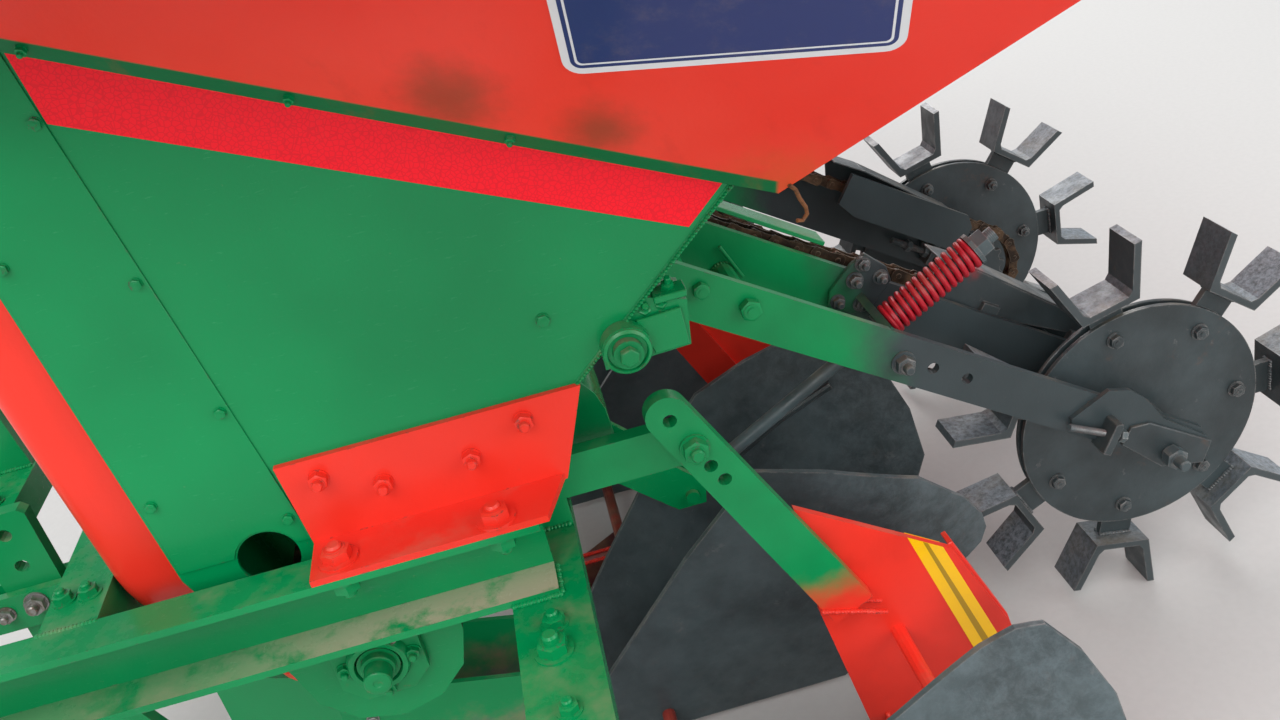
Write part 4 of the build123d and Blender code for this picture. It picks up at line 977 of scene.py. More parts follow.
def make_casing_trim():
    """Lapped front sheets, folded edges, reflective tape and guards of the seed casings."""
    hole_x, hole_z, hole_reach = -290.0, 515.0, 28.0
    seam_low = 523.0
    half = acos((seam_low - hole_z) / hole_reach)
    lap = Shape()
    outline = [(-402, hopper_floor(-402) - 3), (-312, hopper_floor(-312) - 3), (-250, seam_low)]
    outline += arc(hole_x, hole_z, hole_reach, pi / 2 - half, 2 * half, 8) + [(-363, seam_low)]
    lap.side_plate(outline, SIDE_Y, LAP_RISE)
    lap.piece("casing_front_lap", "green_enamel", bevel=0.3)
    fold = Shape()
    for y in (SIDE_Y + 1, INNER_SIDE_Y - 1):
        fold.bar([(155, y, 732), (-95, y, 518)], 2.6, 10)
    fold.bar([(x, SIDE_Y - 1, hopper_floor(x) - 1) for x in (150, -402)], 1.8, 8)
    fold.piece("casing_folds", "green_enamel", bevel=0)
    tape = Shape()
    depth, gap, slant = size("tape_width") / MM, 3.5, 0.871
    front_x, rear_x = -309.0, 151.0
    drop = depth / (1 + slant * 0.55)
    outline = [(front_x, hopper_floor(front_x) - gap), (rear_x, hopper_floor(rear_x) - gap),
               (rear_x - drop, hopper_floor(rear_x) - gap - drop * slant),
               (front_x + 6, hopper_floor(front_x + 6) - gap - depth)]
    tape.side_plate(outline, SIDE_Y - 0.05, 0.5)
    tape.piece("reflective_tape", "reflective_tape", bevel=0)
    guard = Shape()
    curve = [(-60, 566), (-38, 566), (-16, 560), (2, 549), (12, 534), (18, 515), (20, 490)]
    guard.side_plate(curve + [(20, 452), (-60, 452)], -300, 100)
    guard.piece("round_guard", "green_enamel", bevel=0.4)


def make_casing_screws():
    """Screws of the casings, their brackets and the hopper's low edge."""
    low_edge = [(wall_place(x, hopper_floor(x) + 6), tuple(WALL_NORMAL), 4.6) for x in (-287, -138, -1)]
    place_screws("hopper_edge_nuts", low_edge, "green_enamel", washer=0.9, head=0.6, stud=0.5)
    seams = facing(LEFT, SIDE_Y - LAP_RISE, 5.5, (-310, 905), (-294, 777), (-277, 658), (-262, 548),
                   (-359, 593), (-376, 813))
    seams += facing(LEFT, SIDE_Y, 6.5, (-14, 662))
    seams += facing(RIGHT, INNER_SIDE_Y, 5.5, (-340, 700), (-300, 560), (-14, 662), (-120, 760))
    place_screws("casing_screws", seams, "green_enamel", washer=0.95, head=0.45)
    plate = facing(LEFT, BRACKET_FACE_Y, 9.5, (-225, 580), (-177, 560), (-102, 561), (-52, 582))
    place_screws("bracket_nuts", plate, "red_enamel", washer=0.92, head=0.75, stud=0.55)
    foot = [((x, y, FRAME_TOP + 6), UP, 14.5) for x, y in ((-226, -530), (-94, -535))]
    place_screws("bracket_foot_bolts", foot, "red_enamel", washer=1.18, head=0.55, stud=0.2)
    under = [((x, -537, FRAME_TOP - 7), (0, 0, -1), 13.5) for x in (-226, -94)]
    place_screws("bracket_foot_nuts", under, "green_enamel", washer=0.92, head=0.7, stud=0.4)


def make_frame_fittings():
    """Bolts, washers and pins of the frame, toolbars, mast and lower links."""
    rear_top, front_top = TOOLBAR_HIGH.z, FRONT_HIGH.z
    front_x = (FRONT_LOW.x + FRONT_HIGH.x) / 2 + 6
    rows = [((x, y, rear_top), UP, thread) for x, y, thread in (
        (-74, -617, 15), (-70, -684, 9.5), (-72, -760, 9.5))]
    rows += [((x, -470, FRAME_TOP), UP, 9.5) for x in (-470, -448)]
    rows += [((front_x, y, front_top), UP, 11) for y in (-590, -568, -110, -220, -400)]
    rows += [((-70, y, rear_top), UP, 11) for y in (-585, -340)]
    place_screws("frame_bolts", rows, "green_enamel", washer=1.1, stud=0.35)
    link = facing(LEFT, -368.0, 13, (-742, 420), (-742, 470), (-680, 452))
    place_screws("link_bolts", link, "plated_screw", stud=0.4)
    pins = Shape()
    x, y, z = LINK_LOW.x + 40, LINK_LOW.y + 14, 470.0
    pins.bar([(x, y, z - 24), (x, y, z + 26)], 4.0, 10)
    turns = [2 * pi * step / 16 for step in range(17)]
    pins.bar([(x + 17 * sin(turn), y - 1, z + 6 + 22 * cos(turn)) for turn in turns], 1.8, 8)
    pins.piece("linch_pins", "plated_screw", bevel=0)
    caps = Shape()
    for low, high in ((TOOLBAR_LOW, TOOLBAR_HIGH), (FRONT_LOW, FRONT_HIGH)):
        caps.block(((low.x + high.x) / 2, low.y + 1.8, (low.z + high.z) / 2 + 1), (31, 1.6, 18))
    caps.piece("toolbar_caps", "green_enamel", bevel=0.6)


def make_bearings():
    """Rings, collars, grease nipples and shaft ends of the bearings."""
    boot_faces = ((LEFT, SIDE_Y - FLANGE_DEPTH), (RIGHT, INNER_SIDE_Y + FLANGE_DEPTH))
    head_faces = ((LEFT, HEAD_OUTER_Y - FLANGE_DEPTH), (RIGHT, HEAD_INNER_Y + FLANGE_DEPTH))
    rings, collars = Shape(), Shape()
    places = [(PIVOT_X, PIVOT_Z, (LEFT, BEARING_FACE_Y), 20.2, 5.0)]
    places += [(BOOT_X, BOOT_Z, boot_faces[0], 29, 11.0), (HEAD_X, HEAD_Z, head_faces[0], 24, 8.0)]
    places += [(BOOT_X, BOOT_Z, boot_faces[1], 29, 9.0), (HEAD_X, HEAD_Z, head_faces[1], 24, 8.0)]
    inner = SHAFT_RADIUS
    for x, z, (aim, y), outer, depth in places:
        middle = inner + (outer - inner) * 0.45
        rings.lathe((x, y, z), aim, [
            (-0.5, middle), (depth * 0.55, middle + 0.5), (depth * 0.75, middle + 1.5),
            (depth * 0.75, outer - 3.0), (depth * 0.4, outer - 0.5), (-0.5, outer)], 40)
        if x == PIVOT_X:
            continue
        collars.lathe((x, y, z), aim, [
            (0, inner), (depth * 0.55, inner), (depth * 0.6, middle - 0.8), (0, middle - 0.4)], 40)
        collars.lathe((x, y + aim[1] * depth * 0.5, z), aim, [
            (0, inner + 2.9), (depth * 0.7, inner + 2.9), (depth * 0.8, inner + 2),
            (depth * 0.8, inner + 0.1), (0, inner + 0.1)], 40)
    rings.piece("bearing_rings", "green_enamel", bevel=0)
    collars.piece("bearing_collars", "bearing_enamel", bevel=0)
    ends = Shape()
    ends.lathe((PIVOT_X, -512.9, PIVOT_Z), LEFT, [(0, 8.6), (5.8, 8.6), (6.9, 7.4), (6.9, 3.0)], 6, 0.3)
    ends.lathe((BOOT_X, -530, BOOT_Z), LEFT, [(0, 12.2), (1.2, 11.2), (1.2, 4.4), (0.2, 3.4)], 30)
    ends.piece("shaft_ends", "bearing_enamel", bevel=0.3)
    cap = Shape()
    cap.side_plate([(58, 640), (96, 641.5), (97.5, 607), (68, 606), (64, 622)], -487.5, 4)
    cap.side_plate([(76, 656), (104, 656), (103, 650), (76, 650)], -470, 22)
    cap.piece("bearing_cap_plates", "green_enamel", bevel=0.8)
    nipple = Shape()
    nipple.lathe((BOOT_X + 20, SIDE_Y - 15, BOOT_Z + 20), (-0.4, 0, 1), [
        (0, 3.6), (2.5, 3.6), (2.5, 2.2), (5, 1.8), (6, 2.6), (8, 2.4), (9, 1.0)], 10)
    nipple.piece("grease_nipples", "plated_screw", bevel=0)
    rows = []
    for x, z, faces, half, thread in (
            (BOOT_X, BOOT_Z, boot_faces, 31, 8), (HEAD_X, HEAD_Z, head_faces, 23, 6)):
        for aim, y in faces:
            rows += facing(aim, y, thread, *arc(x, z, half, 0, 1.5 * pi, 3))
    place_screws("bearing_bolts", rows, "green_enamel", stud=0.5)
    block = [((67, -482, 643), (0.1, -0.8, 0.7), 6.5), ((81, -482, 644), (0.1, -0.7, 0.8), 6.5),
             ((90, -480, 656), (0.1, -0.4, 1), 6.5)]
    place_screws("bearing_block_studs", block, "green_enamel", head=0.7, stud=0.9)


def duct_ring(z, inset):
    """Points round the seed duct at one height, smoothed over the levels near it."""
    smooth, samples = 26.0, 9
    totals = [0.0] * 4
    for step in range(samples):
        height = min(max(z + smooth * (step / (samples - 1) * 2 - 1), DUCT_LEVELS[-1][0]), DUCT_LEVELS[0][0])
        for upper, lower in zip(DUCT_LEVELS, DUCT_LEVELS[1:]):
            if lower[0] <= height <= upper[0]:
                share = (height - lower[0]) / (upper[0] - lower[0])
                for index in range(4):
                    above, below = upper[index + 1], lower[index + 1]
                    totals[index] += (below + (above - below) * share) / samples
                break
    rear, depth, width, middle = totals
    radii = [max(radius - inset, 2) for radius in (5, 24, 24, 5)]
    ring = rounded(depth - 2 * inset, width - 2 * inset, radii)
    return [(rear - depth / 2 + x, middle + y, z) for x, y in ring]


def make_ducts():
    """Seed ducts as smooth rolled sheet, with their clamping collars."""
    duct = Shape()
    top, low, levels = DUCT_LEVELS[0][0], DUCT_LEVELS[-1][0], 56
    heights = [top - (top - low) * step / levels for step in range(levels + 1)]
    outer, inner = ([duct.corners(duct_ring(z, inset)) for z in heights] for inset in (0.3, 3.0))
    for rings in (outer, inner):
        for first, second in zip(rings, rings[1:]):
            duct.sides(first, second)
    duct.sides(outer[0], inner[0])
    duct.sides(outer[-1], inner[-1])
    piece = duct.piece("seed_ducts", "red_enamel", bevel=0)
    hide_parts("seed_duct_left", "seed_duct_right")
    collar = Shape()
    for high, low in ((1000, 985), (285, 270)):
        rings = [collar.corners(duct_ring(z, inset))
                 for z, inset in ((high, 0.2), (high, -1.6), (low, -1.6), (low, 0.2))]
        for first, second in zip(rings, rings[1:] + rings[:1]):
            collar.sides(first, second)
    collar.piece("duct_collars", "red_enamel", bevel=0.3)


def make_opener_fittings():
    """Bolts and wear plates of the furrow openers."""
    spots = ((-250, 150), (-200, 130), (-310, 190))
    rows = [((-578, -318.3, 427), LEFT, 12), ((-578, -281.7, 427), RIGHT, 12),
            ((-555, -318.3, 415), LEFT, 9), ((-610, -318.3, 422), LEFT, 9)]
    rows += facing(LEFT, -352, 7, *spots) + facing(RIGHT, -248, 7, *spots)
    place_screws("opener_bolts", rows, "plated_screw", stud=0.5)
    wear = Shape()
    for side, y in ((-1, -352.4), (1, -247.6)):
        wear.prism([(-338, y, 14), (-150, y, 14), (-158, y, 58), (-330, y, 66)], (0, side * 3.5, 0))
    wear.piece("opener_wear_plates", "opener_paint", "dark_iron", bevel=1.0)


def loop_points():
    """Pitch line of the land wheel's chain, and its length."""
    wheel, shaft = (CHAIN_PITCH / 2 / sin(pi / teeth) for teeth in (WHEEL_TEETH, SHAFT_TEETH))
    lean = acos((wheel - shaft) / ARM_LENGTH)
    line = arc(AXLE_X, AXLE_Z, wheel, ARM_TURN - lean, 2 * lean, 24)
    line += arc(PIVOT_X, PIVOT_Z, shaft, ARM_TURN + lean, 2 * (pi - lean), 24)
    points = [Vector((x, CHAIN_Y, z)) for x, z in line]
    return points, sum((a - b).length for a, b in zip(points, points[1:] + points[:1]))


def make_link(name, plate_y, plate_thickness, pin_radius, pin_half, pitch):
    """One link of the chain, two waisted plates on two pins, as an object that the tree repeats."""
    shape = Shape()
    height = size("link_plate") / MM
    outline = []
    for middle, start, waist in ((pitch / 2, -62, height * 0.36), (-pitch / 2, 118, -height * 0.36)):
        outline += arc(middle, 0, height / 2, radians(start), radians(124), 6) + [(0, waist)]
    for y in (plate_y, -plate_y):
        shape.side_plate(outline, y + plate_thickness / 2, plate_thickness)
    for x in (-pitch / 2, pitch / 2):
        shape.lathe((x, -pin_half, 0), RIGHT, [
            (0, pin_radius * 0.8), (0.5, pin_radius), (2 * pin_half - 0.5, pin_radius),
            (2 * pin_half, pin_radius * 0.8)], 12)
    shape.outward()
    return add_object(name, shape.mesh(name))


def make_chains():
    """Roller chains of the land wheels, link by link."""
    points, length = loop_points()
    count = len(points)
    links = 2 * round(length / CHAIN_PITCH / 2)
    inner = make_link("inner link", 5.8, 1.6, 6.2, 5.0, length / links)
    outer = make_link("outer link", 7.9, 1.6, 2.9, 9.6, length / links)
    for side, label in SIDES:
        path = [(x, side * y, z) for x, y, z in points]
        edges = [(index, (index + 1) % count) for index in range(count)]
        grown = grow("chain path", path, edges, chain_tree, "chain_steel",
                     Inner=inner, Outer=outer, Links=links)
        piece = seat("roller_chain_" + label, grown, "chain_steel")
        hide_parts("drive_chain_" + label)
    for link in (inner, outer):
        bpy.data.objects.remove(link)


def make_springs():
    """Wound pressure springs, and the threads and washers at their ends."""
    wire = size("spring_wire")
    turn = SPRING_AIM.to_track_quat("Z", "Y").to_matrix().to_4x4()
    for side, label in SIDES:
        grown = grow("spring start", [(0, 0, 0)], [], coil_tree, "spring_enamel", Turns=size("spring_turns"),
                     Height=SPRING_LENGTH * MM - wire, Radius=SPRING_RADIUS * MM - wire / 2, Wire=wire)
        start = (SPRING_SEAT + SPRING_AIM * 0.3) * MM + SPRING_AIM * wire / 2
        start.y *= side
        grown.transform(Matrix.Translation(start) @ turn)
        piece = seat("wound_spring_" + label, grown, "spring_enamel")
        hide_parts("pressure_spring_" + label)
    ends = Shape()
    ends.threaded(SPRING_SEAT + SPRING_AIM * 136, SPRING_AIM, 8.3, 7.0)
    ends.piece("spring_rod_threads", "tightener_paint", "shaft_steel", bevel=0)
    washers = Shape()
    washers.lathe(SPRING_SEAT - SPRING_AIM * 11.5, SPRING_AIM, [
        (0, 9.0), (1.8, 9.0), (2.6, 9.8), (2.6, 16.2), (1.8, 17.0), (0, 17.0), (0, 9.0)], 28)
    washers.piece("spring_washers", "tightener_paint", "shaft_steel", bevel=0)


def make_fork_screws():
    """Bolts and nuts of the forks, and the clamp nuts on the axles."""
    bolts = [((138, ARM_FACE_Y, 571), LEFT, 10), ((182, ARM_FACE_Y, 538), LEFT, 13)]
    place_screws("fork_front_bolts", bolts, "fork_enamel", washer=0.5, head=0.7)
    axle = [((624, ARM_FACE_Y - 10, 223), LEFT, 15)]
    place_screws("axle_clamp_nuts", axle, "tightener_paint", washer=0.7, head=0.85, stud=0.9)
    rows = [((331, ARM_FACE_Y, 428), LEFT, 12), ((331, ARM_FACE_Y + 10, 428), RIGHT, 12)]
    rows += [((x, -226, z), LEFT, thread) for x, z, thread in (
        (297, 466, 8), (319, 486, 9), (330, 503, 8), (348, 482, 8), (322, 456, 8))]
    rows += facing(RIGHT, -210, 9, (182, 538), (330, 470), (560, 290))
    place_screws("fork_nuts", rows, "dark_iron", washer=1.1, head=0.75, stud=0.7)


def make_tighteners():
    """Chain tighteners at the rear of the fork arms, with their lugs."""
    lugs, screws = Shape(), Shape()
    aim, across = Vector((0.894, 0, -0.447)), Vector((0.447, 0, 0.894))
    start = Vector((503, ARM_FACE_Y - 14, 299))
    screws.threaded(start, aim, 4.4, 74, 1.6, 0.6)
    screws.lathe(start + aim * 64, aim, [(0, 6.6), (0.7, 7.6), (7.4, 7.6), (8, 6.8)], 6)
    edge = start + aim * 50 + Vector((0, 14, 0))
    outline = [edge + aim * u + across * v for u, v in ((-5, -20), (5, -20), (5, 14), (2, 20), (-5, 17))]
    lugs.prism(outline, (0, -28, 0))
    tongue = [(578, 272), (600, 271), (675, 223), (665, 196), (614, 207), (566, 252)]
    lugs.side_plate(tongue, ARM_FACE_Y - 5.5, 4.5)
    for along, depth, spots in ((622, 24, ((-4, -16), (4, -16), (4, 22), (-4, 22))),
                                (626, 6, ((0, -13), (34, -13), (38, 0), (26, 16), (0, 22)))):
        lugs.prism([arm_place(along + a, b, -210) for a, b in spots], (0, depth, 0))
    screws.threaded(arm_place(555, 0, -198), ARM_AIM, 5.0, 104)
    for along in (580, 610, 634):
        screws.lathe(arm_place(along, 0, -198), ARM_AIM, [(0, 8.2), (0.8, 9.2), (7, 9.2), (7.8, 8.2)], 6)
    lugs.piece("tightener_lugs", "dark_iron", bevel=0.8)
    screws.piece("tightener_screws", "tightener_paint", bevel=0)


def make_fork_fittings():
    """Gussets, stop rods, chain guards and chain cover plates on the fork arms."""
    inner_face = -220.0
    gusset = Shape()
    gusset.side_plate([(286, 462), (312, 446), (334, 448), (360, 474), (356, 492), (334, 514), (318, 506),
                       (290, 480)], inner_face, 6)
    gusset.piece("fork_gussets", "fork_enamel", bevel=0.8)
    rod = Shape()
    rod.bar([(180, inner_face - 5, 566), (199, inner_face - 5, 525)], 2.0, 10)
    rod.piece("fork_stop_rods", "fork_enamel", "dark_iron", bevel=0)
    make_tighteners()
    guard = Shape()
    guard.prism([arm_place(a, b, -172) for a, b in ((20, 58), (263, 58), (263, 63), (20, 63))], (0, -33, 0))
    guard.side_plate([(70, 655), (120, 640), (120, 716), (70, 720)], -225.7, 4)
    guard.prism([arm_place(a, b, -205) for a, b in ((45, 60), (75, 60), (75, 66), (45, 66))], (0, -24, 0))
    guard.piece("chain_guards", "green_enamel", bevel=0.7)
    cover = Shape()
    face = -201.5
    cover.side_plate([(424, 472), (465, 447), (590, 348), (601, 318), (516, 362), (420, 424)], face, 2.5)
    for (x, z), (next_x, next_z) in (((424, 472), (465, 447)), ((465, 447), (590, 348))):
        flange = [(x, -204, z), (next_x, -204, next_z), (next_x, -160, next_z), (x, -160, z)]
        cover.prism(flange, (1.2, 0, 1.8))
    for along in (475, 600):
        tab = [arm_place(along + a, b, face) for a, b in ((0, 28), (22, 28), (22, 56), (0, 56))]
        cover.prism(tab, (0, -9, 0))
    cover.piece("chain_cover_plates", "guard_paint", bevel=0.5)


def wing_place(x, z, y, side, foot, stand=0.0):
    """Point on a mouldboard's outer face, standing off it."""
    return (x, y + side * (foot - (z - 12) * WING_LEAN + stand), z)


def make_ridger_fittings():
    """Stripes, folded edges, bolts and braces of the ridgers."""
    stripe, line, fold = Shape(), Shape(), Shape()
    outline = [(271, 315), (306, 291), (356, 155), (388, 66), (356, 66), (331, 138)]
    middle = [(286, 304.5), (291, 301), (347, 148), (374, 66), (367, 66), (341, 144)]
    for y, way in ((-RIDGER_Y, -1), (8 - RIDGER_Y, 1), (-8, -1)):
        stripe.prism([(x, y, z) for x, z in outline], (0, way * 0.5, 0))
        line.prism([(x, y + way * 0.45, z) for x, z in middle], (0, way * 0.25, 0))
    stripe.piece("ridger_stripes", "stripe_yellow", bevel=0)
    line.piece("ridger_stripe_lines", "stripe_line", bevel=0)
    edge = [(314, 285), (366, 171), (395, 43), (399, 43), (371, 172), (319, 287)]
    fold.prism([(x, 8 - RIDGER_Y, z) for x, z in edge], (0, 20, 0))
    fold.piece("ridger_folds", "red_enamel", bevel=0.8)
    rows = [((84, y, 494), aim, 14) for y, aim in (
        (-RIDGER_Y - 16, LEFT), (-RIDGER_Y + 16, RIGHT), (-16, LEFT))]
    place_screws("standard_bolts", rows, "standard_enamel", stud=0.3)
    rows = [(wing_place(x, z, y, side, foot), (0, side, 0.22), 10)
            for y, side, foot in ((-RIDGER_Y, -1, 200), (-RIDGER_Y, 1, 150), (0, -1, 200))
            for x, z in ((0, 42), (160, 160))]
    place_screws("wing_bolts", rows, "dark_iron", washer=1.3, head=0.5)
    brace = Shape()
    path = [wing_place(159, 254, 0, -1, 200, 7), wing_place(225, 285, 0, -1, 200, 5), (294, -150, 317)]
    brace.bar(path, 5, 10)
    brace.lathe(wing_place(159, 254, 0, -1, 200, -3), (0, -1, 0.2), [
        (0, 12), (3, 12), (3, 8.5), (12, 8.5), (13, 7)], 12)
    brace.piece("wing_braces", "dark_iron", bevel=0)


def make_wheel_fittings():
    """Inner disc, bolts, nuts and the axle nut of each land wheel, riding with it."""
    outer_face, stem_back, bolt_circle = AXLE_Y - 9, AXLE_Y + 9, 119.0
    depth, bore, rim = 5.0, 22.2, 145.0
    spots = [(AXLE_X + bolt_circle * aim.x, AXLE_Z + bolt_circle * aim.z) for aim in lug_aims()]
    for side, label in SIDES:
        body, out, back = "wheel_" + label, (0, -side, 0), (0, side, 0)
        place_screws("wheel_bolts_" + label, facing(out, side * outer_face, 9.5, *spots), "dark_iron",
                     body=body, mirrored=False, washer=1.05)
        place_screws("wheel_nuts_" + label, facing(back, side * stem_back, 9.5, *spots), "dark_iron",
                     body=body, mirrored=False, head=0.75, stud=0.4)
        plate = Shape()
        plate.lathe((AXLE_X, side * (stem_back - depth), AXLE_Z), back, [
            (0, bore), (0, rim - 0.8), (0.8, rim), (depth - 0.8, rim), (depth, rim - 0.8), (depth, bore),
            (0, bore)], 96)
        plate.piece("wheel_inner_disc_" + label, "wheel_iron", body=body, mirrored=False, bevel=0)
        nut = Shape()
        nut.lathe((AXLE_X, side * -182.8, AXLE_Z), back, [(0, 17), (2.2, 17), (2.2, 10.1)], 28)
        nut.lathe((AXLE_X, side * -180.5, AXLE_Z), back, [(0, 14), (0.8, 15.2), (7, 15.2), (8, 13.6)], 6)
        nut.piece("axle_nut_" + label, "plated_screw", body=body, mirrored=False, bevel=0.2)


def make_welds():
    """Weld beads where the steel parts join."""
    top, low, rear = FRAME_TOP - 1, FRAME_LOW + 1, CHANNEL_HIGH.x
    lip = LIP_Y - 0.5
    frame_paths = [
        [(rear + 1, LIP_Y + 2, low), (rear + 1, LIP_Y + 38, low)],
        [(TOOLBAR_LOW.x + 2, lip, low), (rear, lip, low)],
        [(FRONT_LOW.x + 2, lip, low), (FRONT_HIGH.x - 2, lip, low)],
        [(-482, -511, top), (-434, -511, top)],
        [(-54, -258, 438), (-40, -258, 402)],
        [(-54, -276, 438), (-40, -276, 402)],
        [(-654, -352, 441), (-718, -352, 498)],
        [(-716, -39, 441), (-660, -39, 441)],
        [(-598, -309, 400), (-536, -309, 400)],
    ]
    frame_paths += [[(-101, y, 441), (-42, y, 441)] for y in (-455, -439, -9)]
    place_welds("frame_welds", frame_paths, "green_enamel")
    seams = [[(154, y, 731), (-94, y, 519)] for y in (SIDE_Y - 1.5, INNER_SIDE_Y + 0.5)]
    place_welds("casing_seams", seams, "green_enamel", width=0.75)
    ring = arc(0, 0, 12, 0, 2 * pi, 12)
    fork = [[arm_place(along + a, b, y) for a, b in ring] for along in (95, 161) for y in (-221.5, -312)]
    place_welds("fork_welds", fork, "fork_enamel", width=0.8)
    ridger = [[(173, -472, 268), (204, -472, 258), (235, -472, 246)], [(173, -454, 268), (235, -454, 246)],
              [(-60, -456, 51), (226, -456, 51)], [(226, -456, 88), (222, -456, 14)],
              [(180, -9, 268), (240, -9, 246)], [(-60, -9, 51), (226, -9, 51)]]
    place_welds("ridger_welds", ridger, "red_enamel")
    share = [[(-440, -305.5, 62), (-418, -312, 62)], [(-340, -352.5, 66), (-345, -352.5, 190)]]
    place_welds("opener_welds", share, "opener_paint", width=0.9)
    for side, label in SIDES:
        paths = []
        for ahead in lug_aims():
            across = Vector((-ahead.z, 0, ahead.x))
            for y in (AXLE_Y - 5, AXLE_Y + 5):
                foot = Vector((AXLE_X, side * y, AXLE_Z)) + ahead * 165
                paths.append([foot - across * 19, foot + across * 19])
        place_welds("wheel_welds_" + label, paths, "wheel_iron", "wheel_" + label, False, 0.9)


def make_head_trim():
    """Latch, screws and folded edges of the elevator heads."""
    folds = Shape()
    for y in (HEAD_OUTER_Y - 0.5, HEAD_INNER_Y + 0.5):
        path = [(HEAD_X + 80, y, HEAD_Z)]
        for degrees in range(10, 121, 10):
            rise = 77 if degrees < 95 else 77 * 0.96
            path.append((HEAD_X + 77 * cos(radians(degrees)), y, HEAD_Z + rise * sin(radians(degrees))))
        folds.bar(path, 2.4, 8)
        folds.bar([(HEAD_X + 76, y, HEAD_Z - 6), (-236, y, 936)], 2.4, 8)
    folds.piece("head_folds", "green_enamel", bevel=0)
    latch = Shape()
    latch.block((HEAD_X + 82, -360, HEAD_Z - 30), (2.5, 22, 26))
    latch.bar([(HEAD_X + x, y, HEAD_Z + z) for x, y, z in (
        (86, -374, -46), (92, -374, -38), (92, -346, -38), (86, -346, -46))], 2.6, 8)
    latch.piece("head_latches", "plated_screw")
    faces = ((LEFT, HEAD_OUTER_Y), (RIGHT, HEAD_INNER_Y))
    rows = []
    for spots in (((-300, 1010), (-300, 1090)), ((-385, 1060), (-385, 1150))):
        for aim, y in faces:
            rows += facing(aim, y, 5.5, *spots)
    place_screws("head_screws", rows, "green_enamel", head=0.45)


def make_camera():
    """Camera where the photograph was taken from."""
    data = bpy.data.cameras.new("camera")
    data.sensor_width = CAMERA_SENSOR_MM
    data.lens = CAMERA_LENS_MM
    data.clip_start = 0.01
    camera = add_object("camera", data)
    right = Vector(CAMERA_RIGHT).normalized()
    down = Vector(CAMERA_DOWN)
    down = (down - right * down.dot(right)).normalized()
    turn = Matrix((right, -down, right.cross(-down))).transposed()
    camera.matrix_world = Matrix.Translation(CAMERA_PLACE) @ turn.to_4x4()
    bpy.context.scene.camera = camera


def make_light(name, place, target, width, power):
    """Soft square lamp that looks at a point."""
    data = bpy.data.lights.new(name, "AREA")
    data.shape = "SQUARE"
    data.size = width
    data.energy = power
    lamp = add_object(name, data)
    lamp.location = place
    lamp.rotation_euler = (Vector(target) - Vector(place)).to_track_quat("-Z", "Y").to_euler()


def make_floor():
    """Pale floor that belongs to the stage."""
    half = 40.0
    mesh = bpy.data.meshes.new("floor")
    corners = [(-half, -half, 0), (half, -half, 0), (half, half, 0), (-half, half, 0)]
    mesh.from_pydata(corners, [], [(0, 1, 2, 3)])
    f = Finish("pale_floor")
    base = colour("floor")
    shade = f.over(base, darker(base, 1.03), f.patches(90.0, 0.3, 0.7, 3.0))
    mesh.materials.append(f.finish(shade, 0.9, f.bump(f.noise(90.0, 3.0), 0.0005, 0.2), specular=0.1))
    add_object("floor", mesh)


def make_stage():
    """Floor, soft lamps and a pale world."""
    make_floor()
    stage = bpy.context.scene.planter_stage
    for name, place, target, width, share in (
            ("key", (-1.6, -2.9, 4.5), (0, 0, 0.5), 3.2, 1.0),
            ("low left", (-1.0, -4.4, 2.3), (0, 0, 0.5), 2.0, 0.30),
            ("low right", (0.6, 4.6, 2.4), (0, 0, 0.5), 2.0, 0.25),
            ("fill", (3.8, -2.6, 2.4), (0.2, 0, 0.4), 3.2, 0.5),
            ("back", (1.5, 4.0, 3.9), (0, 0, 0.5), 3.5, 0.75)):
        make_light(name, place, target, width, stage.lamp_power * share)
    world = bpy.data.worlds.new("sky")
    bpy.context.scene.world = world
    world.use_nodes = True
    background = world.node_tree.nodes["Background"]
    background.inputs["Color"].default_value = (0.90, 0.93, 0.97, 1.0)
    background.inputs["Strength"].default_value = stage.sky_strength
    bpy.context.scene.view_settings.view_transform = "Standard"
    make_camera()


class PLANTER_OT_finishes(bpy.types.Operator):
    """Make every finish and dress the frame's nodes"""

    bl_idname = "planter.finishes"
    bl_label = "Finishes"

    def execute(self, context):
        make_materials()
        dress_nodes()
        return {"FINISHED"}


class PLANTER_OT_hopper(bpy.types.Operator):
    """Fit the hopper's rim, ribs, hook and blank sign"""

    bl_idname = "planter.hopper"
    bl_label = "Hopper trim"

    def execute(self, context):
        make_hopper_trim()
        make_sign()
        return {"FINISHED"}


class PLANTER_OT_casings(bpy.types.Operator):
    """Fit the seed casings' sheets, tape and screws"""

    bl_idname = "planter.casings"
    bl_label = "Casing trim"

    def execute(self, context):
        make_casing_trim()
        make_casing_screws()
        make_head_trim()
        return {"FINISHED"}


class PLANTER_OT_ducts(bpy.types.Operator):
    """Make the smooth seed ducts"""

    bl_idname = "planter.ducts"
    bl_label = "Seed ducts"

    def execute(self, context):
        make_ducts()
        return {"FINISHED"}


class PLANTER_OT_frame(bpy.types.Operator):
    """Bolt the frame, toolbars, mast and links"""

    bl_idname = "planter.frame_fittings"
    bl_label = "Frame fittings"

    def execute(self, context):
        make_frame_fittings()
        return {"FINISHED"}


class PLANTER_OT_bearings(bpy.types.Operator):
    """Fit the bearings' rings, collars and bolts"""

    bl_idname = "planter.bearings"
    bl_label = "Bearings"

    def execute(self, context):
        make_bearings()
        return {"FINISHED"}


class PLANTER_OT_openers(bpy.types.Operator):
    """Fit the furrow openers' bolts and wear plates"""

    bl_idname = "planter.openers"
    bl_label = "Furrow openers"

    def execute(self, context):
        make_opener_fittings()
        return {"FINISHED"}


class PLANTER_OT_chains(bpy.types.Operator):
    """Lay the roller chains link by link"""

    bl_idname = "planter.chains"
    bl_label = "Roller chains"

    def execute(self, context):
        make_chains()
        return {"FINISHED"}


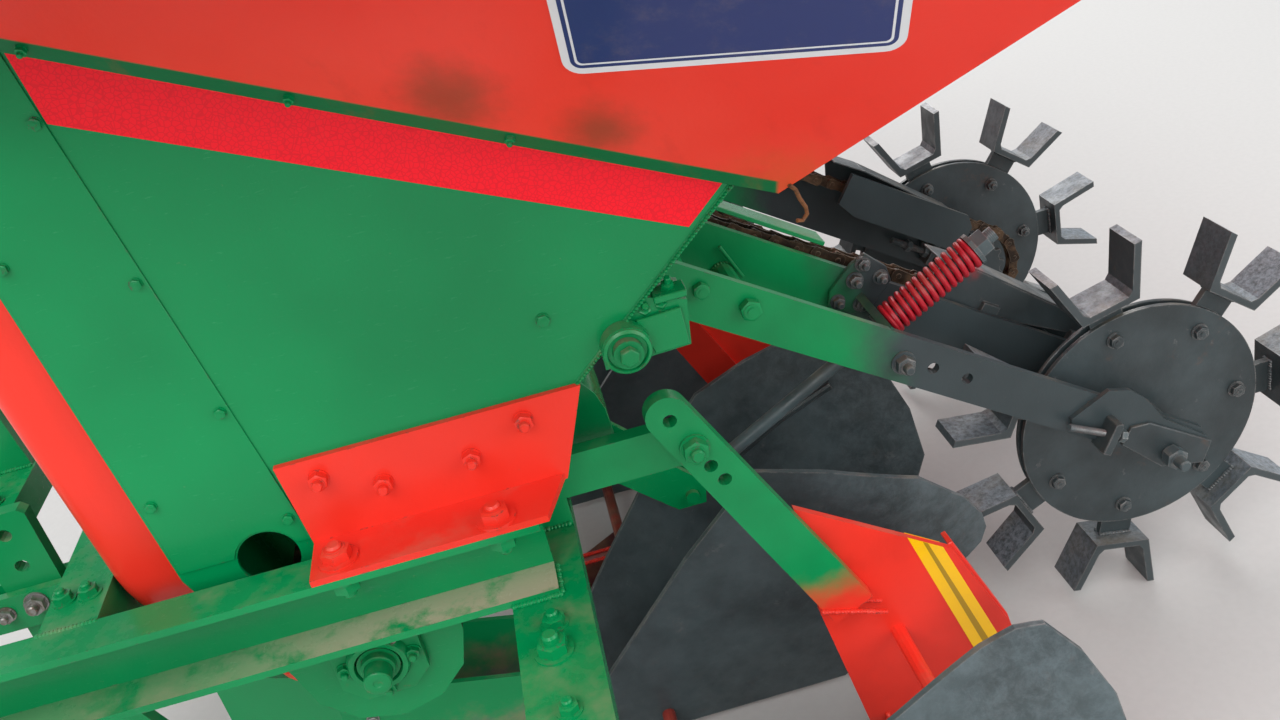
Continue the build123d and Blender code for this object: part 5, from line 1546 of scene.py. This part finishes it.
class PLANTER_OT_springs(bpy.types.Operator):
    """Wind the pressure springs"""

    bl_idname = "planter.springs"
    bl_label = "Pressure springs"

    def execute(self, context):
        make_springs()
        return {"FINISHED"}


class PLANTER_OT_forks(bpy.types.Operator):
    """Fit the fork arms' bolts, tighteners and guards"""

    bl_idname = "planter.forks"
    bl_label = "Fork fittings"

    def execute(self, context):
        make_fork_screws()
        make_fork_fittings()
        return {"FINISHED"}


class PLANTER_OT_ridgers(bpy.types.Operator):
    """Fit the ridgers' stripes, folds and bolts"""

    bl_idname = "planter.ridgers"
    bl_label = "Ridger fittings"

    def execute(self, context):
        make_ridger_fittings()
        return {"FINISHED"}


class PLANTER_OT_wheels(bpy.types.Operator):
    """Bolt up the land wheels"""

    bl_idname = "planter.wheels"
    bl_label = "Wheel fittings"

    def execute(self, context):
        make_wheel_fittings()
        return {"FINISHED"}


class PLANTER_OT_welds(bpy.types.Operator):
    """Run the weld beads"""

    bl_idname = "planter.welds"
    bl_label = "Weld beads"

    def execute(self, context):
        make_welds()
        return {"FINISHED"}


class PLANTER_OT_stage(bpy.types.Operator):
    """Set the floor, lamps, world and camera"""

    bl_idname = "planter.stage"
    bl_label = "Stage"

    def execute(self, context):
        make_stage()
        return {"FINISHED"}


STEPS = (
    PLANTER_OT_finishes, PLANTER_OT_hopper, PLANTER_OT_casings, PLANTER_OT_ducts, PLANTER_OT_frame,
    PLANTER_OT_bearings, PLANTER_OT_openers, PLANTER_OT_chains, PLANTER_OT_springs, PLANTER_OT_forks,
    PLANTER_OT_ridgers, PLANTER_OT_wheels, PLANTER_OT_welds, PLANTER_OT_stage,
)
GROUPS = {"planter_colours": PlanterColours, "planter_sizes": PlanterSizes, "planter_stage": PlanterStage}


class PLANTER_PT_panel(bpy.types.Panel):
    """Every step of the dressing, in order"""

    bl_idname = "PLANTER_PT_panel"
    bl_label = "Potato Planter"
    bl_space_type = "VIEW_3D"
    bl_region_type = "UI"
    bl_category = "Planter"

    def draw(self, context):
        for name, group in GROUPS.items():
            box = self.layout.box()
            for field in group.__annotations__:
                box.prop(getattr(context.scene, name), field)
        for step in STEPS:
            self.layout.operator(step.bl_idname)


def register():
    for name, group in GROUPS.items():
        bpy.utils.register_class(group)
        setattr(bpy.types.Scene, name, PointerProperty(type=group))
    for step in STEPS + (PLANTER_PT_panel,):
        bpy.utils.register_class(step)


def unregister():
    for step in (PLANTER_PT_panel,) + STEPS[::-1]:
        bpy.utils.unregister_class(step)
    for name, group in GROUPS.items():
        delattr(bpy.types.Scene, name)
        bpy.utils.unregister_class(group)


def main():
    register()
    for step in STEPS:
        area, name = step.bl_idname.split(".")
        result = getattr(getattr(bpy.ops, area), name)()
        if "FINISHED" not in result:
            raise RuntimeError(step.bl_label + " did not finish")


if __name__ == "__main__":
    main()
